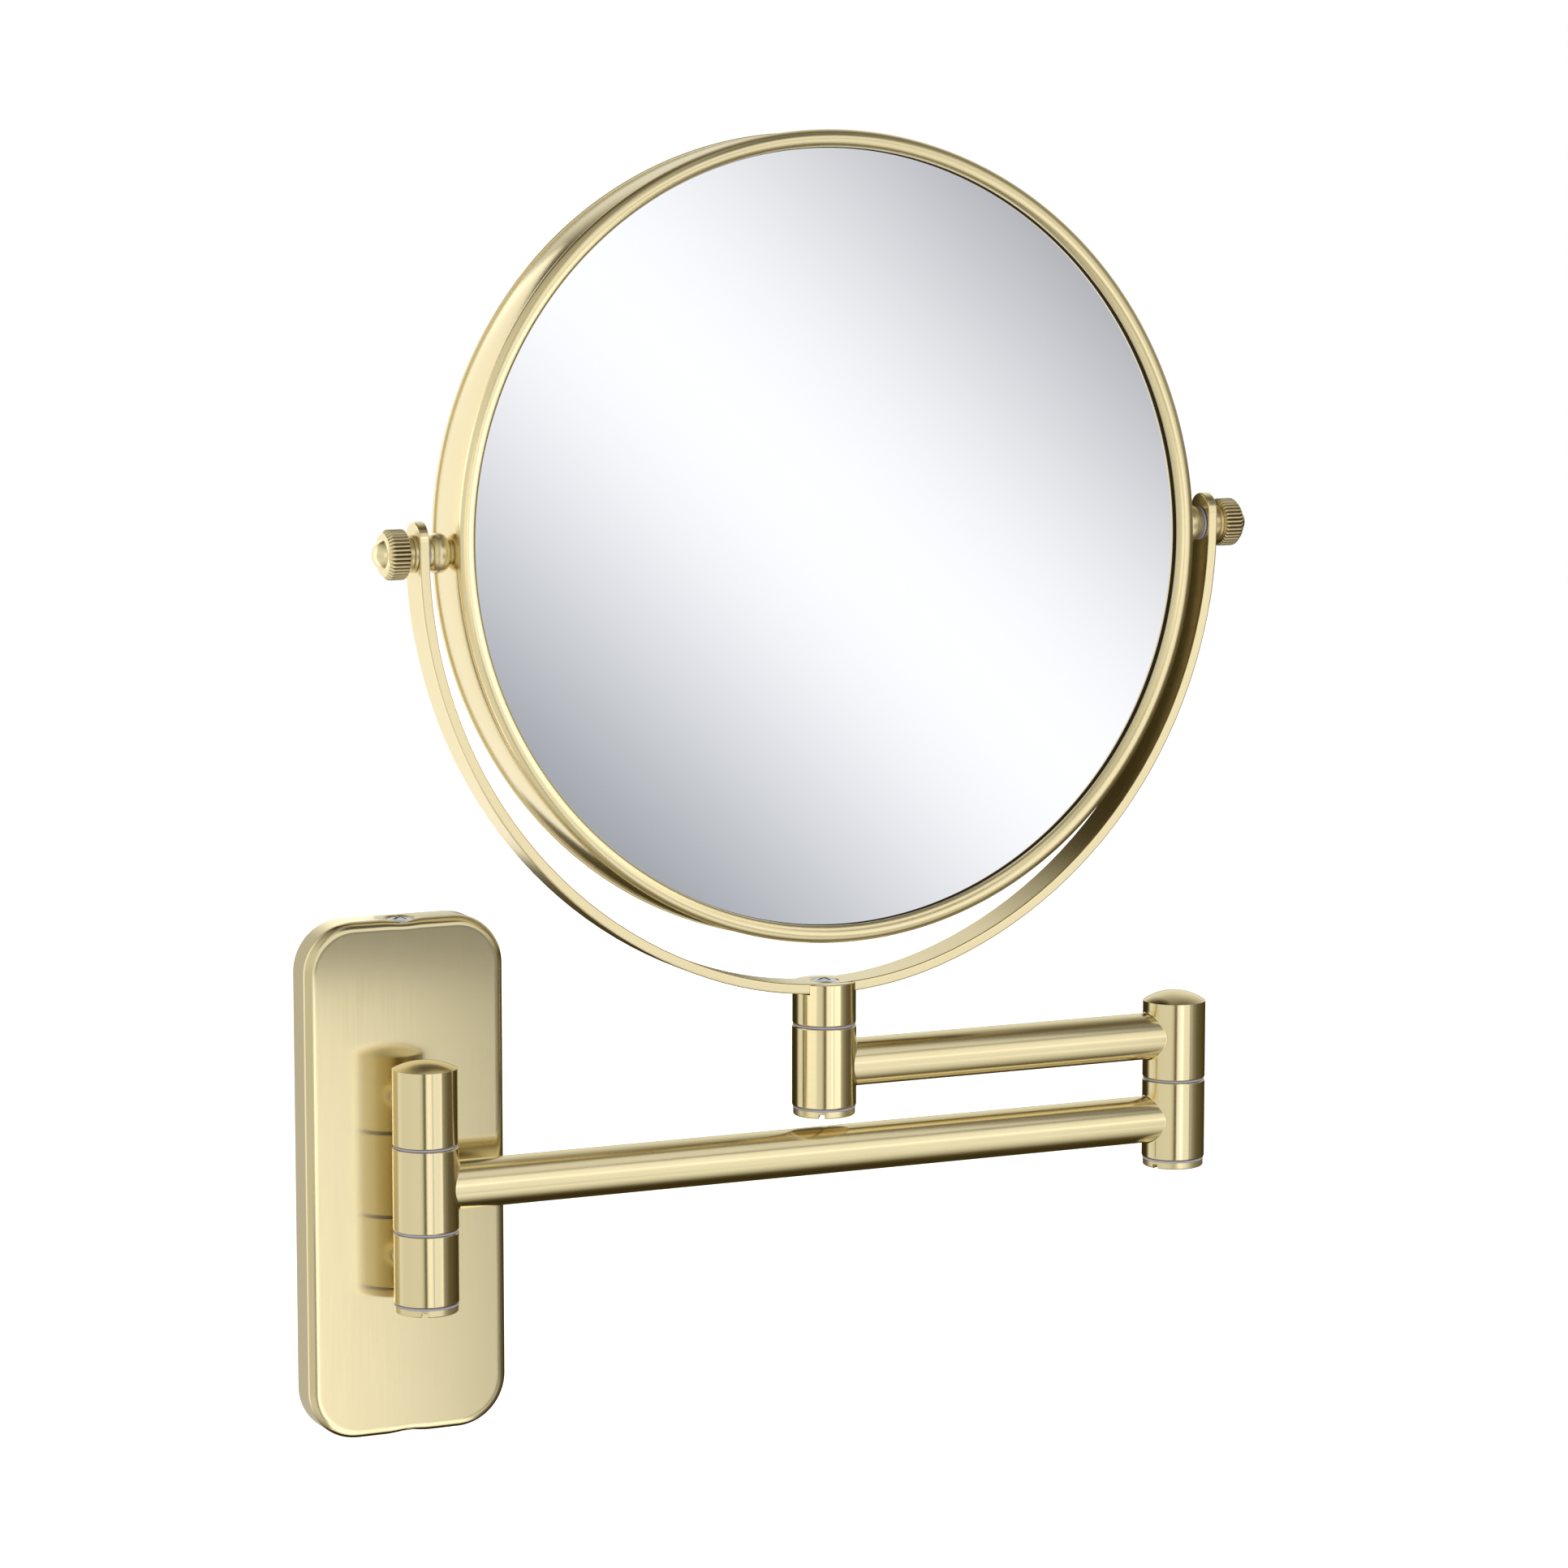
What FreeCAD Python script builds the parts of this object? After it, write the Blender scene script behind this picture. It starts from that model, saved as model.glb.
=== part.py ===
import FreeCAD, Part
import math
import os

# Wall-mounted two-sided makeup mirror on a folding double arm, in millimetres.
# The origin is the middle of the wall plate's back, on the wall. X runs to the right along the
# folded arms, -Y points into the room and Z points up. The lower arm's axis lies at height zero.

# Wall plate: a stamped shell, open towards the wall
plate_width = 52.4
plate_height = 130.2
plate_depth = 9.2
plate_corner_radius = 12.8
plate_edge_radius = 3.4
plate_wall = 1.5

# Countersunk screws in the dimples of the plate's top and bottom edge
plate_screw_setback = 4.8
plate_dimple_radius = 4.3
plate_screw_head_radius = 3.7
plate_screw_shank_radius = 1.6
plate_screw_length = 8.0

# Wall bracket: a steel strap with bent ends
bracket_width = 30.0
bracket_sheet = 1.5
bracket_bend_radius = 2.0
bracket_edge_gap = 0.6
wall_hole_radius = 2.5
wall_hole_spacing = 84.0

# Wall post
post_standoff = 21.4
post_knuckle_radius = 8.1
upper_post_height = 18.9
lower_post_height = 17.7
post_dome_height = 1.9
stub_radius = 4.5
spigot_radius = 3.0
knuckle_screw_radius = 1.8
knuckle_screw_length = 9.0
knuckle_screw_head_radius = 3.7
knuckle_screw_head_height = 2.2

# Knuckles, hinge pins and washers
arm_knuckle_radius = 8.2
arm_knuckle_height = 20.6
knuckle_edge_radius = 0.35
pin_radius = 4.0
pin_head_cover = 3.0
washer_radius = 7.9
washer_thickness = 0.6
axial_play = 0.03
running_clearance = 0.05
seat_gap = 0.02
thread_room = 0.6

# Slotted end screws under the three posts
end_head_radius = 7.9
end_head_height = 1.8
end_edge_radius = 0.5
end_shank_radius = 2.4
end_shank_length = 6.0
end_slot_width = 1.5
end_slot_depth = 1.1
wall_slot_turn = 65.0
elbow_slot_turn = 25.0
mirror_slot_turn = 60.0

# Arms
lower_arm_length = 210.4
upper_arm_length = 101.8
tube_radius = 6.1
tube_wall = 1.2
plug_length = 12.0
fold_clearance = 3.3
elbow_shoulder = 2.9
elbow_dome_height = 2.7

# Yoke, stem and yoke screw
stem_radius = 8.1
stem_height = 10.7
yoke_thickness = 2.6
yoke_width = 9.9
yoke_rim_gap = 11.2
yoke_shoulder_angle = 72.0
yoke_edge_radius = 0.4
ear_rise = 7.8
ear_bow_room = 0.18
yoke_screw_head_radius = 3.8
yoke_screw_shank_radius = 1.7
yoke_screw_length = 8.0
yoke_screw_turn = 20.0

# Mirror head
rim_radius = 101.5
bead_radius = 2.2
band_step = 0.3
band_wall = 1.2
seam_setback = 0.6
skirt_length = 2.6
skirt_wall = 1.2
lip_depth = 1.2
glass_edge_gap = 0.15
glass_thickness = 3.0
glass_gap = 2.1
magnifier_thickness = 2.5
magnifier_sag = 7.0
spacer_wall = 2.5
spacer_edge_gap = 1.6
rest_tilt = 3.0

# Pivot bosses between the band and the yoke's ears
boss_foot_radius = 4.6
boss_waist_radius = 3.1
boss_foot_height = 0.8
boss_bead_radius = 4.8
boss_bead_length = 3.4
boss_neck_radius = 3.55
boss_reach = 5.4
boss_shank_radius = 2.2
boss_nut_radius = 3.6
boss_nut_height = 1.2
boss_nut_margin = 0.4
pivot_washer_radius = 4.3
pivot_washer_thickness = 1.0

# Knurled knobs with a threaded shank
knob_radius = 6.15
knob_barrel_length = 4.3
knob_chamfer_length = 1.0
knob_chamfer_depth = 1.0
knob_near_chamfer = 0.4
knob_dome_radius = 3.8
knob_dome_height = 2.7
knob_shank_radius = 2.0
knob_shank_length = 9.6
knurl_count = 36
knurl_depth = 0.38
knob_washer_radii = (4.7, 4.2, 4.7)
knob_washer_thickness = 0.75

# Cross recesses, as shares of the screw head's radius, and one overrun for all cuts
recess_reach_share = 0.62
recess_width_share = 0.24
recess_depth_share = 0.32
overrun = 1.0

# Heights and places that follow from the sizes above
washer_stack = washer_thickness + 2 * axial_play
half_knuckle = arm_knuckle_height / 2
tube_bore_radius = tube_radius - tube_wall
upper_arm_rise = tube_radius + fold_clearance + end_head_height + washer_stack + half_knuckle
elbow_seat = half_knuckle + washer_stack
elbow_top = upper_arm_rise + tube_radius + elbow_shoulder
mirror_post_x = lower_arm_length - upper_arm_length
stem_bottom = upper_arm_rise + half_knuckle + washer_stack
stem_top = stem_bottom + stem_height

band_radius = rim_radius - band_step
band_bore_radius = band_radius - band_wall
yoke_half_span = band_radius + boss_reach + pivot_washer_thickness + ear_bow_room + yoke_thickness / 2
yoke_drop = rim_radius + yoke_rim_gap + yoke_thickness / 2
mirror_height = stem_top + yoke_drop - yoke_thickness / 2

front_seam = boss_nut_radius + boss_nut_margin + skirt_length
lip_radius = rim_radius - 2 * bead_radius
skirt_radius = band_bore_radius - running_clearance
glass_radius = skirt_radius - skirt_wall - glass_edge_gap
front_lip = front_seam + seam_setback - lip_depth
glass_back = front_lip - seat_gap - glass_thickness
magnifier_face = glass_back - glass_gap - magnifier_thickness - magnifier_sag
back_lip = magnifier_face - seat_gap
back_seam = back_lip - lip_depth + seam_setback
magnifier_curve = (glass_radius ** 2 + magnifier_sag ** 2) / (2 * magnifier_sag)

ear_outer = yoke_half_span + yoke_thickness / 2
knob_face = ear_outer + len(knob_washer_radii) * (knob_washer_thickness + axial_play) + axial_play


def vec(x, y, z):
    return FreeCAD.Vector(x, y, z)


origin = vec(0, 0, 0)
along_x = vec(1, 0, 0)
along_y = vec(0, 1, 0)
along_z = vec(0, 0, 1)
post_axis = vec(0, -post_standoff, 0)
elbow_axis = post_axis + along_x * lower_arm_length
mirror_axis = post_axis + along_x * mirror_post_x
mirror_centre = mirror_axis + along_z * mirror_height


def outline_edges(start, steps, place):
    """Edges through the steps: an end point, or a middle and an end point for an arc."""
    edges = []
    here = start
    for step in steps + [start]:
        if isinstance(step[0], tuple):
            middle, end = step
            edges.append(Part.Arc(place(here), place(middle), place(end)).toShape())
        else:
            end = step
            edges.append(Part.LineSegment(place(here), place(end)).toShape())
        here = end
    return edges


def turned(start, *steps):
    """A closed outline in (radius, height), turned about the Z axis."""
    edges = outline_edges(start, list(steps), lambda point: vec(point[0], 0, point[1]))
    return Part.Face(Part.Wire(edges)).revolve(origin, along_z, 360)


def cylinder(radius, start, direction, length):
    return Part.makeCylinder(radius, length, start, direction)


def ring(outer, inner, bottom, height):
    """A plain washer about the Z axis."""
    return turned((inner, bottom), (outer, bottom), (outer, bottom + height), (inner, bottom + height))


def rounded_foot(radius, bottom, edge):
    """The rounded lower edge of a turned outline that runs outwards, as an arc step."""
    inset = edge * (1 - math.sqrt(2) / 2)
    return (radius - inset, bottom + inset), (radius, bottom + edge)


def rounded_top(radius, top, edge):
    """The rounded upper edge of a turned outline that runs inwards, as an arc step."""
    inset = edge * (1 - math.sqrt(2) / 2)
    return (radius - inset, top - inset), (radius - edge, top)


def box_between(low, high):
    size = high - low
    return Part.makeBox(size.x, size.y, size.z, low)


def moved(shape, offset):
    return shape.translated(offset)


def rounded_block(width, height, corner, depth, edge):
    """A block on the wall with round corners and a rounded front edge."""
    half_w = width / 2
    half_h = height / 2
    block = box_between(vec(-half_w, -depth, -half_h), vec(half_w, 0, half_h))
    corners = [e for e in block.Edges if abs(e.tangentAt(e.FirstParameter).y) > math.cos(math.radians(45))]
    block = block.makeFillet(corner, corners)
    front = [e for e in block.Edges if e.BoundBox.YMax < -depth + edge / 2]
    return block.makeFillet(edge, front)


def cross_recess(head_radius):
    """A cross-shaped cut in a screw head whose top is at height zero."""
    reach = head_radius * recess_reach_share
    half = head_radius * recess_width_share / 2
    depth = head_radius * recess_depth_share
    arm = box_between(vec(-reach, -half, -depth), vec(reach, half, overrun))
    return arm.fuse(arm.rotated(origin, along_z, 90))


def countersunk_screw(head_radius, shank_radius, length):
    """A flat-headed screw about Z, its head's top at height zero, pointing down."""
    body = turned((0, 0), (head_radius, 0), (shank_radius, shank_radius - head_radius),
                  (shank_radius, -length), (0, -length))
    return body.cut(cross_recess(head_radius))


def countersink(head_radius, hole_radius, depth):
    """The matching cut, its mouth at height zero."""
    return turned((0, overrun), (head_radius, overrun), (head_radius, 0),
                  (hole_radius, hole_radius - head_radius), (hole_radius, -depth), (0, -depth))


# Wall side

def plate_edge_places():
    """Functions that put a shape made about Z on the plate's top and bottom edge."""
    top = vec(0, -plate_screw_setback, plate_height / 2)
    return [lambda shape: moved(shape, top),
            lambda shape: moved(shape, top).rotated(origin, along_y, 180)]


plate_hole_radius = plate_screw_shank_radius + running_clearance
dimple_depth = plate_dimple_radius - plate_hole_radius
flange_top = plate_height / 2 - dimple_depth - plate_wall


def wall_plate():
    outer = rounded_block(plate_width, plate_height, plate_corner_radius, plate_depth, plate_edge_radius)
    inner = rounded_block(plate_width - 2 * plate_wall, plate_height - 2 * plate_wall,
                          plate_corner_radius - plate_wall, plate_depth - plate_wall,
                          plate_edge_radius - plate_wall)
    shell = outer.cut(inner)
    pressed_depth = dimple_depth + plate_wall
    pressed = turned((0, 0), (plate_dimple_radius, 0), (plate_hole_radius + plate_wall, -pressed_depth),
                     (0, -pressed_depth))
    mouth = countersink(plate_dimple_radius, plate_hole_radius, pressed_depth + overrun)
    for place in plate_edge_places():
        shell = shell.fuse(place(pressed).common(outer)).cut(place(mouth))
    for z in stub_heights():
        start = vec(0, -plate_depth - overrun, z)
        hole = cylinder(spigot_radius + running_clearance, start, along_y, plate_wall + 2 * overrun)
        shell = shell.cut(hole)
    return shell


def wall_bracket():
    reach = plate_depth - plate_wall - bracket_edge_gap
    half = bracket_width / 2
    strap = box_between(vec(-half, -reach, -flange_top), vec(half, 0, flange_top))
    bends = [e for e in strap.Edges if abs(e.tangentAt(e.FirstParameter).x) > math.cos(math.radians(45))
             and e.BoundBox.YMin > -reach / 2]
    strap = strap.makeFillet(bracket_bend_radius, bends)
    hollow = box_between(vec(-half - overrun, -reach - overrun, bracket_sheet - flange_top),
                         vec(half + overrun, -bracket_sheet, flange_top - bracket_sheet))
    strap = strap.cut(hollow)
    for side in (1, -1):
        wall_hole = cylinder(wall_hole_radius, vec(0, -bracket_sheet - overrun, side * wall_hole_spacing / 2),
                             along_y, bracket_sheet + 2 * overrun)
        strap = strap.cut(wall_hole)
    edge_hole = cylinder(plate_hole_radius, vec(0, 0, -plate_height), along_z, 2 * plate_height)
    return strap.cut(moved(edge_hole, vec(0, -plate_screw_setback, 0)))


def plate_screws():
    drop = plate_dimple_radius - plate_screw_head_radius - seat_gap
    screw = countersunk_screw(plate_screw_head_radius, plate_screw_shank_radius, plate_screw_length)
    screw = moved(screw, vec(0, 0, -drop))
    return Part.makeCompound([place(screw) for place in plate_edge_places()])


def stub_heights():
    base = half_knuckle + washer_stack
    return [base + upper_post_height / 2, -base - lower_post_height / 2]


def wall_knuckle_with_stub(body, height):
    """Adds the stub towards the wall, its spigot through the plate and the screw hole in its end."""
    centre = post_axis + along_z * height
    body = body.fuse(cylinder(stub_radius, centre, along_y, post_standoff - plate_depth - seat_gap))
    spigot_length = post_standoff - plate_depth + plate_wall - seat_gap
    body = body.fuse(cylinder(spigot_radius, centre, along_y, spigot_length))
    hole_depth = knuckle_screw_length + thread_room
    start = centre + along_y * (spigot_length - hole_depth)
    screw_hole = cylinder(knuckle_screw_radius + running_clearance, start, along_y, hole_depth + overrun)
    return body.cut(screw_hole)


def domed_barrel(radius, bottom, top, dome):
    edge = knuckle_edge_radius
    curve = (radius ** 2 + dome ** 2) / (2 * dome)
    half_angle = math.asin(radius / curve) / 2
    middle = (curve * math.sin(half_angle), top + dome - curve * (1 - math.cos(half_angle)))
    return turned((0, bottom), (radius - edge, bottom), rounded_foot(radius, bottom, edge), (radius, top),
                  (middle, (0, top + dome)))


def plain_barrel(radius, bottom, top):
    edge = knuckle_edge_radius
    return turned((0, bottom), (radius - edge, bottom), rounded_foot(radius, bottom, edge),
                  (radius, top - edge), rounded_top(radius, top, edge), (0, top))


def upper_wall_knuckle():
    bottom = half_knuckle + washer_stack
    top = bottom + upper_post_height
    body = moved(domed_barrel(post_knuckle_radius, bottom, top, post_dome_height), post_axis)
    body = wall_knuckle_with_stub(body, stub_heights()[0])
    return body.cut(moved(pin_bore(bottom, top - pin_head_cover), post_axis))


def lower_wall_knuckle():
    top = -half_knuckle - washer_stack
    bottom = top - lower_post_height
    body = moved(plain_barrel(post_knuckle_radius, bottom, top), post_axis)
    body = wall_knuckle_with_stub(body, stub_heights()[1])
    return body.cut(moved(pin_bore(bottom - overrun, top + overrun), post_axis))


def knuckle_screws():
    screws = []
    head_at = -plate_depth + plate_wall + seat_gap
    for z in stub_heights():
        head = cylinder(knuckle_screw_head_radius, vec(0, head_at, z), along_y, knuckle_screw_head_height)
        rounded = [e for e in head.Edges if e.BoundBox.YMin > head_at]
        head = head.makeFillet(knuckle_screw_head_height / 2, rounded)
        shank = cylinder(knuckle_screw_radius, vec(0, head_at, z), -along_y, knuckle_screw_length)
        recess = cross_recess(knuckle_screw_head_radius).rotated(origin, along_x, -90)
        recess = moved(recess, vec(0, head_at + knuckle_screw_head_height, z))
        screws.append(head.fuse(shank).cut(recess))
    return Part.makeCompound(screws)


def pin_bore(bottom, top):
    return cylinder(pin_radius + running_clearance, vec(0, 0, bottom), along_z, top - bottom)


def hinge_pin(bottom, top):
    """A pin about Z with the hole for its end screw in its foot."""
    pin = cylinder(pin_radius, vec(0, 0, bottom), along_z, top - bottom)
    return pin.cut(end_screw_hole(bottom))


def end_screw_hole(bottom):
    return cylinder(end_shank_radius + running_clearance, vec(0, 0, bottom - overrun), along_z,
                    end_shank_length + thread_room + overrun)


def end_screw(top, slot_turn):
    """A slotted disc-headed screw; the head hangs below its top, the shank stands above it."""
    low = top - end_head_height
    edge = end_edge_radius
    screw = turned((0, low), (end_head_radius - edge, low), rounded_foot(end_head_radius, low, edge),
                   (end_head_radius, top), (end_shank_radius, top),
                   (end_shank_radius, top + end_shank_length), (0, top + end_shank_length))
    reach = end_head_radius + overrun
    half = end_slot_width / 2
    slot = box_between(vec(-reach, -half, low - overrun), vec(reach, half, low + end_slot_depth))
    return screw.cut(slot.rotated(origin, along_z, slot_turn))


wall_post_foot = -half_knuckle - washer_stack - lower_post_height


def wall_hinge_pin():
    top = half_knuckle + washer_stack + upper_post_height - pin_head_cover - running_clearance
    return moved(hinge_pin(wall_post_foot - washer_stack, top), post_axis)


def thin_washer(seat):
    return ring(washer_radius, pin_radius + running_clearance, seat + axial_play, washer_thickness)


def wall_post_washers():
    seats = [half_knuckle, -half_knuckle - washer_stack, wall_post_foot - washer_stack]
    return Part.makeCompound([moved(thin_washer(seat), post_axis) for seat in seats])


def wall_post_end_screw():
    return moved(end_screw(wall_post_foot - washer_stack, wall_slot_turn), post_axis)


# Arms

def arm_knuckle(barrel, axis, bore, towards, tube_height):
    """A barrel with the plug that enters the arm tube, bored for its pin."""
    start = axis + along_z * tube_height
    plug = cylinder(tube_bore_radius - running_clearance, start, towards, arm_knuckle_radius + plug_length)
    return moved(barrel, axis).fuse(plug).cut(moved(bore, axis))


def arm_tube(start, end, height):
    """A tube between two posts, its ends coped to the knuckles."""
    length = end.x - start.x
    lift = along_z * height
    tube = cylinder(tube_radius, start + lift, along_x, length)
    tube = tube.cut(cylinder(tube_bore_radius, start + lift, along_x, length))
    for axis in (start, end):
        foot = axis + lift - along_z * arm_knuckle_height
        tube = tube.cut(cylinder(arm_knuckle_radius + seat_gap, foot, along_z, 2 * arm_knuckle_height))
    return tube


def lower_arm_wall_knuckle():
    barrel = plain_barrel(arm_knuckle_radius, -half_knuckle, half_knuckle)
    bore = pin_bore(-half_knuckle - overrun, half_knuckle + overrun)
    return arm_knuckle(barrel, post_axis, bore, along_x, 0)


def lower_arm_tube():
    return arm_tube(post_axis, elbow_axis, 0)


def lower_arm_elbow_knuckle():
    barrel = plain_barrel(arm_knuckle_radius, -half_knuckle, half_knuckle)
    bore = pin_bore(-half_knuckle - overrun, half_knuckle + overrun)
    return arm_knuckle(barrel, elbow_axis, bore, -along_x, 0)


def upper_arm_elbow_knuckle():
    barrel = domed_barrel(arm_knuckle_radius, elbow_seat, elbow_top, elbow_dome_height)
    bore = pin_bore(elbow_seat - overrun, elbow_top - pin_head_cover)
    return arm_knuckle(barrel, elbow_axis, bore, -along_x, upper_arm_rise)


def upper_arm_tube():
    return arm_tube(mirror_axis, elbow_axis, upper_arm_rise)


def upper_arm_mirror_knuckle():
    low = upper_arm_rise - half_knuckle
    high = upper_arm_rise + half_knuckle
    barrel = plain_barrel(arm_knuckle_radius, low, high)
    return arm_knuckle(barrel, mirror_axis, pin_bore(low - overrun, high + overrun), along_x, upper_arm_rise)


def elbow_pin():
    top = elbow_top - pin_head_cover - running_clearance
    return moved(hinge_pin(-half_knuckle - washer_stack, top), elbow_axis)


def elbow_washers():
    seats = [half_knuckle, -half_knuckle - washer_stack]
    return Part.makeCompound([moved(thin_washer(seat), elbow_axis) for seat in seats])


def elbow_end_screw():
    return moved(end_screw(-half_knuckle - washer_stack, elbow_slot_turn), elbow_axis)


# Yoke

mirror_post_foot = upper_arm_rise - half_knuckle - washer_stack


def yoke_stem():
    body = plain_barrel(stem_radius, stem_bottom, stem_top)
    spigot_top = stem_bottom + knuckle_edge_radius
    spigot_length = spigot_top - mirror_post_foot
    body = body.fuse(cylinder(pin_radius, vec(0, 0, mirror_post_foot), along_z, spigot_length))
    reach = stem_radius + overrun
    half = yoke_width / 2 + running_clearance
    floor = stem_top - yoke_thickness - seat_gap
    slot = box_between(vec(-reach, -half, floor), vec(reach, half, stem_top + overrun))
    hole_depth = yoke_screw_length + thread_room
    screw_hole = cylinder(yoke_screw_shank_radius + running_clearance, vec(0, 0, stem_top - hole_depth),
                          along_z, hole_depth + overrun)
    body = body.cut(slot).cut(screw_hole).cut(end_screw_hole(mirror_post_foot))
    return moved(body, mirror_axis)


def yoke_outline(offset):
    """Points of the yoke's U, offset from its middle line: two side arcs and a tighter bottom arc."""
    shoulder = math.radians(yoke_shoulder_angle)
    spread = (yoke_drop - yoke_half_span) / (math.sin(shoulder) + math.cos(shoulder) - 1)
    side_radius = yoke_half_span + spread * math.cos(shoulder)
    side_centre = side_radius - yoke_half_span
    bottom_radius = side_radius - spread
    bottom_centre = -spread * math.sin(shoulder)
    side = side_radius + offset
    low = bottom_radius + offset
    half = shoulder / 2
    pivot = (-yoke_half_span - offset, 0)
    side_middle = (side_centre - side * math.cos(half), -side * math.sin(half))
    side_end = (side_centre - side * math.cos(shoulder), -side * math.sin(shoulder))
    bottom = (0, bottom_centre - low)
    return pivot, side_middle, side_end, bottom


def mirrored(point):
    return (-point[0], point[1])


def yoke_blank():
    """The bent strip with square ear ends, about the pivot line."""
    pivot_o, middle_o, end_o, bottom_o = yoke_outline(yoke_thickness / 2)
    pivot_i, middle_i, end_i, bottom_i = yoke_outline(-yoke_thickness / 2)
    steps = [pivot_o, (middle_o, end_o), (bottom_o, mirrored(end_o)),
             (mirrored(middle_o), mirrored(pivot_o)), (-pivot_o[0], ear_rise),
             (-pivot_i[0], ear_rise), mirrored(pivot_i), (mirrored(middle_i), mirrored(end_i)),
             (bottom_i, end_i), (middle_i, pivot_i), (pivot_i[0], ear_rise)]
    half = yoke_width / 2
    edges = outline_edges((pivot_o[0], ear_rise), steps, lambda point: vec(point[0], -half, point[1]))
    return Part.Face(Part.Wire(edges)).extrude(along_y * yoke_width)


def ear_profile():
    """The strip's face as seen along the pivot line: straight sides and a round top."""
    half = yoke_width / 2
    low = -yoke_drop - yoke_thickness
    shoulder = ear_rise - half
    steps = [(half, low), (half, shoulder), ((0, ear_rise), (-half, shoulder))]
    reach = ear_outer + overrun
    edges = outline_edges((-half, low), steps, lambda point: vec(-reach, point[0], point[1]))
    return Part.Face(Part.Wire(edges)).extrude(along_x * 2 * reach)


def yoke():
    strip = yoke_blank().common(ear_profile()).removeSplitter()
    rims = [e for e in strip.Edges if e.Length > 2 * yoke_thickness]
    strip = strip.makeFillet(yoke_edge_radius, rims)
    pivot_hole = cylinder(knob_shank_radius + running_clearance, vec(-ear_outer - overrun, 0, 0), along_x,
                          2 * (ear_outer + overrun))
    screw_seat = countersink(yoke_screw_head_radius + running_clearance,
                             yoke_screw_shank_radius + running_clearance, yoke_thickness + overrun)
    screw_seat = moved(screw_seat, vec(0, 0, yoke_thickness / 2 - yoke_drop))
    return moved(strip.cut(pivot_hole).cut(screw_seat), mirror_centre)


def yoke_screw():
    screw = countersunk_screw(yoke_screw_head_radius, yoke_screw_shank_radius, yoke_screw_length)
    return moved(screw.rotated(origin, along_z, yoke_screw_turn), mirror_axis + along_z * stem_top)


def mirror_post_washers():
    seats = [upper_arm_rise + half_knuckle, mirror_post_foot]
    return Part.makeCompound([moved(thin_washer(seat), mirror_axis) for seat in seats])


def mirror_post_end_screw():
    return moved(end_screw(mirror_post_foot, mirror_slot_turn), mirror_axis)


def on_pivot(shape, side):
    """Lays a shape made about Z along the pivot line, outwards to the right or the left."""
    return moved(shape.rotated(origin, along_y, 90 * side), mirror_centre)


def pivot_washers():
    washer = ring(pivot_washer_radius, knob_shank_radius + running_clearance,
                  band_radius + boss_reach + axial_play, pivot_washer_thickness)
    return Part.makeCompound([on_pivot(washer, side) for side in (-1, 1)])


def knob_washers():
    washers = []
    for side in (-1, 1):
        face = ear_outer + axial_play
        for radius in knob_washer_radii:
            washer = ring(radius, knob_shank_radius + running_clearance, face, knob_washer_thickness)
            washers.append(on_pivot(washer, side))
            face += knob_washer_thickness + axial_play
    return Part.makeCompound(washers)


# Mirror head

def leaned(shape):
    """Leans a piece of the head back by its rest tilt."""
    return shape.rotated(mirror_centre, along_x, -rest_tilt)


def facing(shape):
    """Puts a shape turned about Z, its front upwards, into the mirror head."""
    return leaned(moved(shape.rotated(origin, along_x, 90), mirror_centre))


def bezel(lip, seam, outwards):
    """A half-round rim with the lip that holds the glass and the skirt inside the band."""
    bead_centre = lip + outwards * lip_depth
    skirt_end = seam - outwards * skirt_length
    skirt_bore = skirt_radius - skirt_wall
    crown = (rim_radius - bead_radius, bead_centre + outwards * bead_radius)
    return turned((lip_radius, lip), (lip_radius, bead_centre), (crown, (rim_radius, bead_centre)),
                  (rim_radius, seam), (skirt_radius, seam), (skirt_radius, skirt_end),
                  (skirt_bore, skirt_end), (skirt_bore, lip))


def front_bezel():
    return facing(bezel(front_lip, front_seam + seat_gap, 1))


def back_bezel():
    return facing(bezel(back_lip, back_seam - seat_gap, -1))


def frame_band():
    band = facing(ring(band_radius, band_bore_radius, back_seam, front_seam - back_seam))
    for side in (-1, 1):
        start = along_z * (band_bore_radius - overrun)
        hole = cylinder(boss_shank_radius + running_clearance, start, along_z, band_wall + 2 * overrun)
        band = band.cut(on_pivot(hole, side))
    return band


def plain_mirror():
    face = glass_back + glass_thickness
    return facing(turned((0, glass_back), (glass_radius, glass_back), (glass_radius, face), (0, face)))


def dish(radius, lift):
    """Height of the dished glass at a radius from its middle."""
    centre = magnifier_face + magnifier_sag - magnifier_curve
    return centre + math.sqrt(magnifier_curve ** 2 - radius ** 2) + lift


def magnifying_mirror():
    half = glass_radius / 2
    lift = magnifier_thickness
    face = ((half, dish(half, 0)), (0, dish(0, 0)))
    inside = ((half, dish(half, lift)), (glass_radius, dish(glass_radius, lift)))
    return facing(turned((glass_radius, dish(glass_radius, 0)), face, (0, dish(0, lift)), inside))


def mirror_spacer():
    outer = glass_radius - spacer_edge_gap
    inner = outer - spacer_wall
    seat = magnifier_thickness + seat_gap
    top = glass_back - seat_gap
    return facing(turned((inner, dish(inner, seat)), (outer, dish(outer, seat)), (outer, top), (inner, top)))


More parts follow.
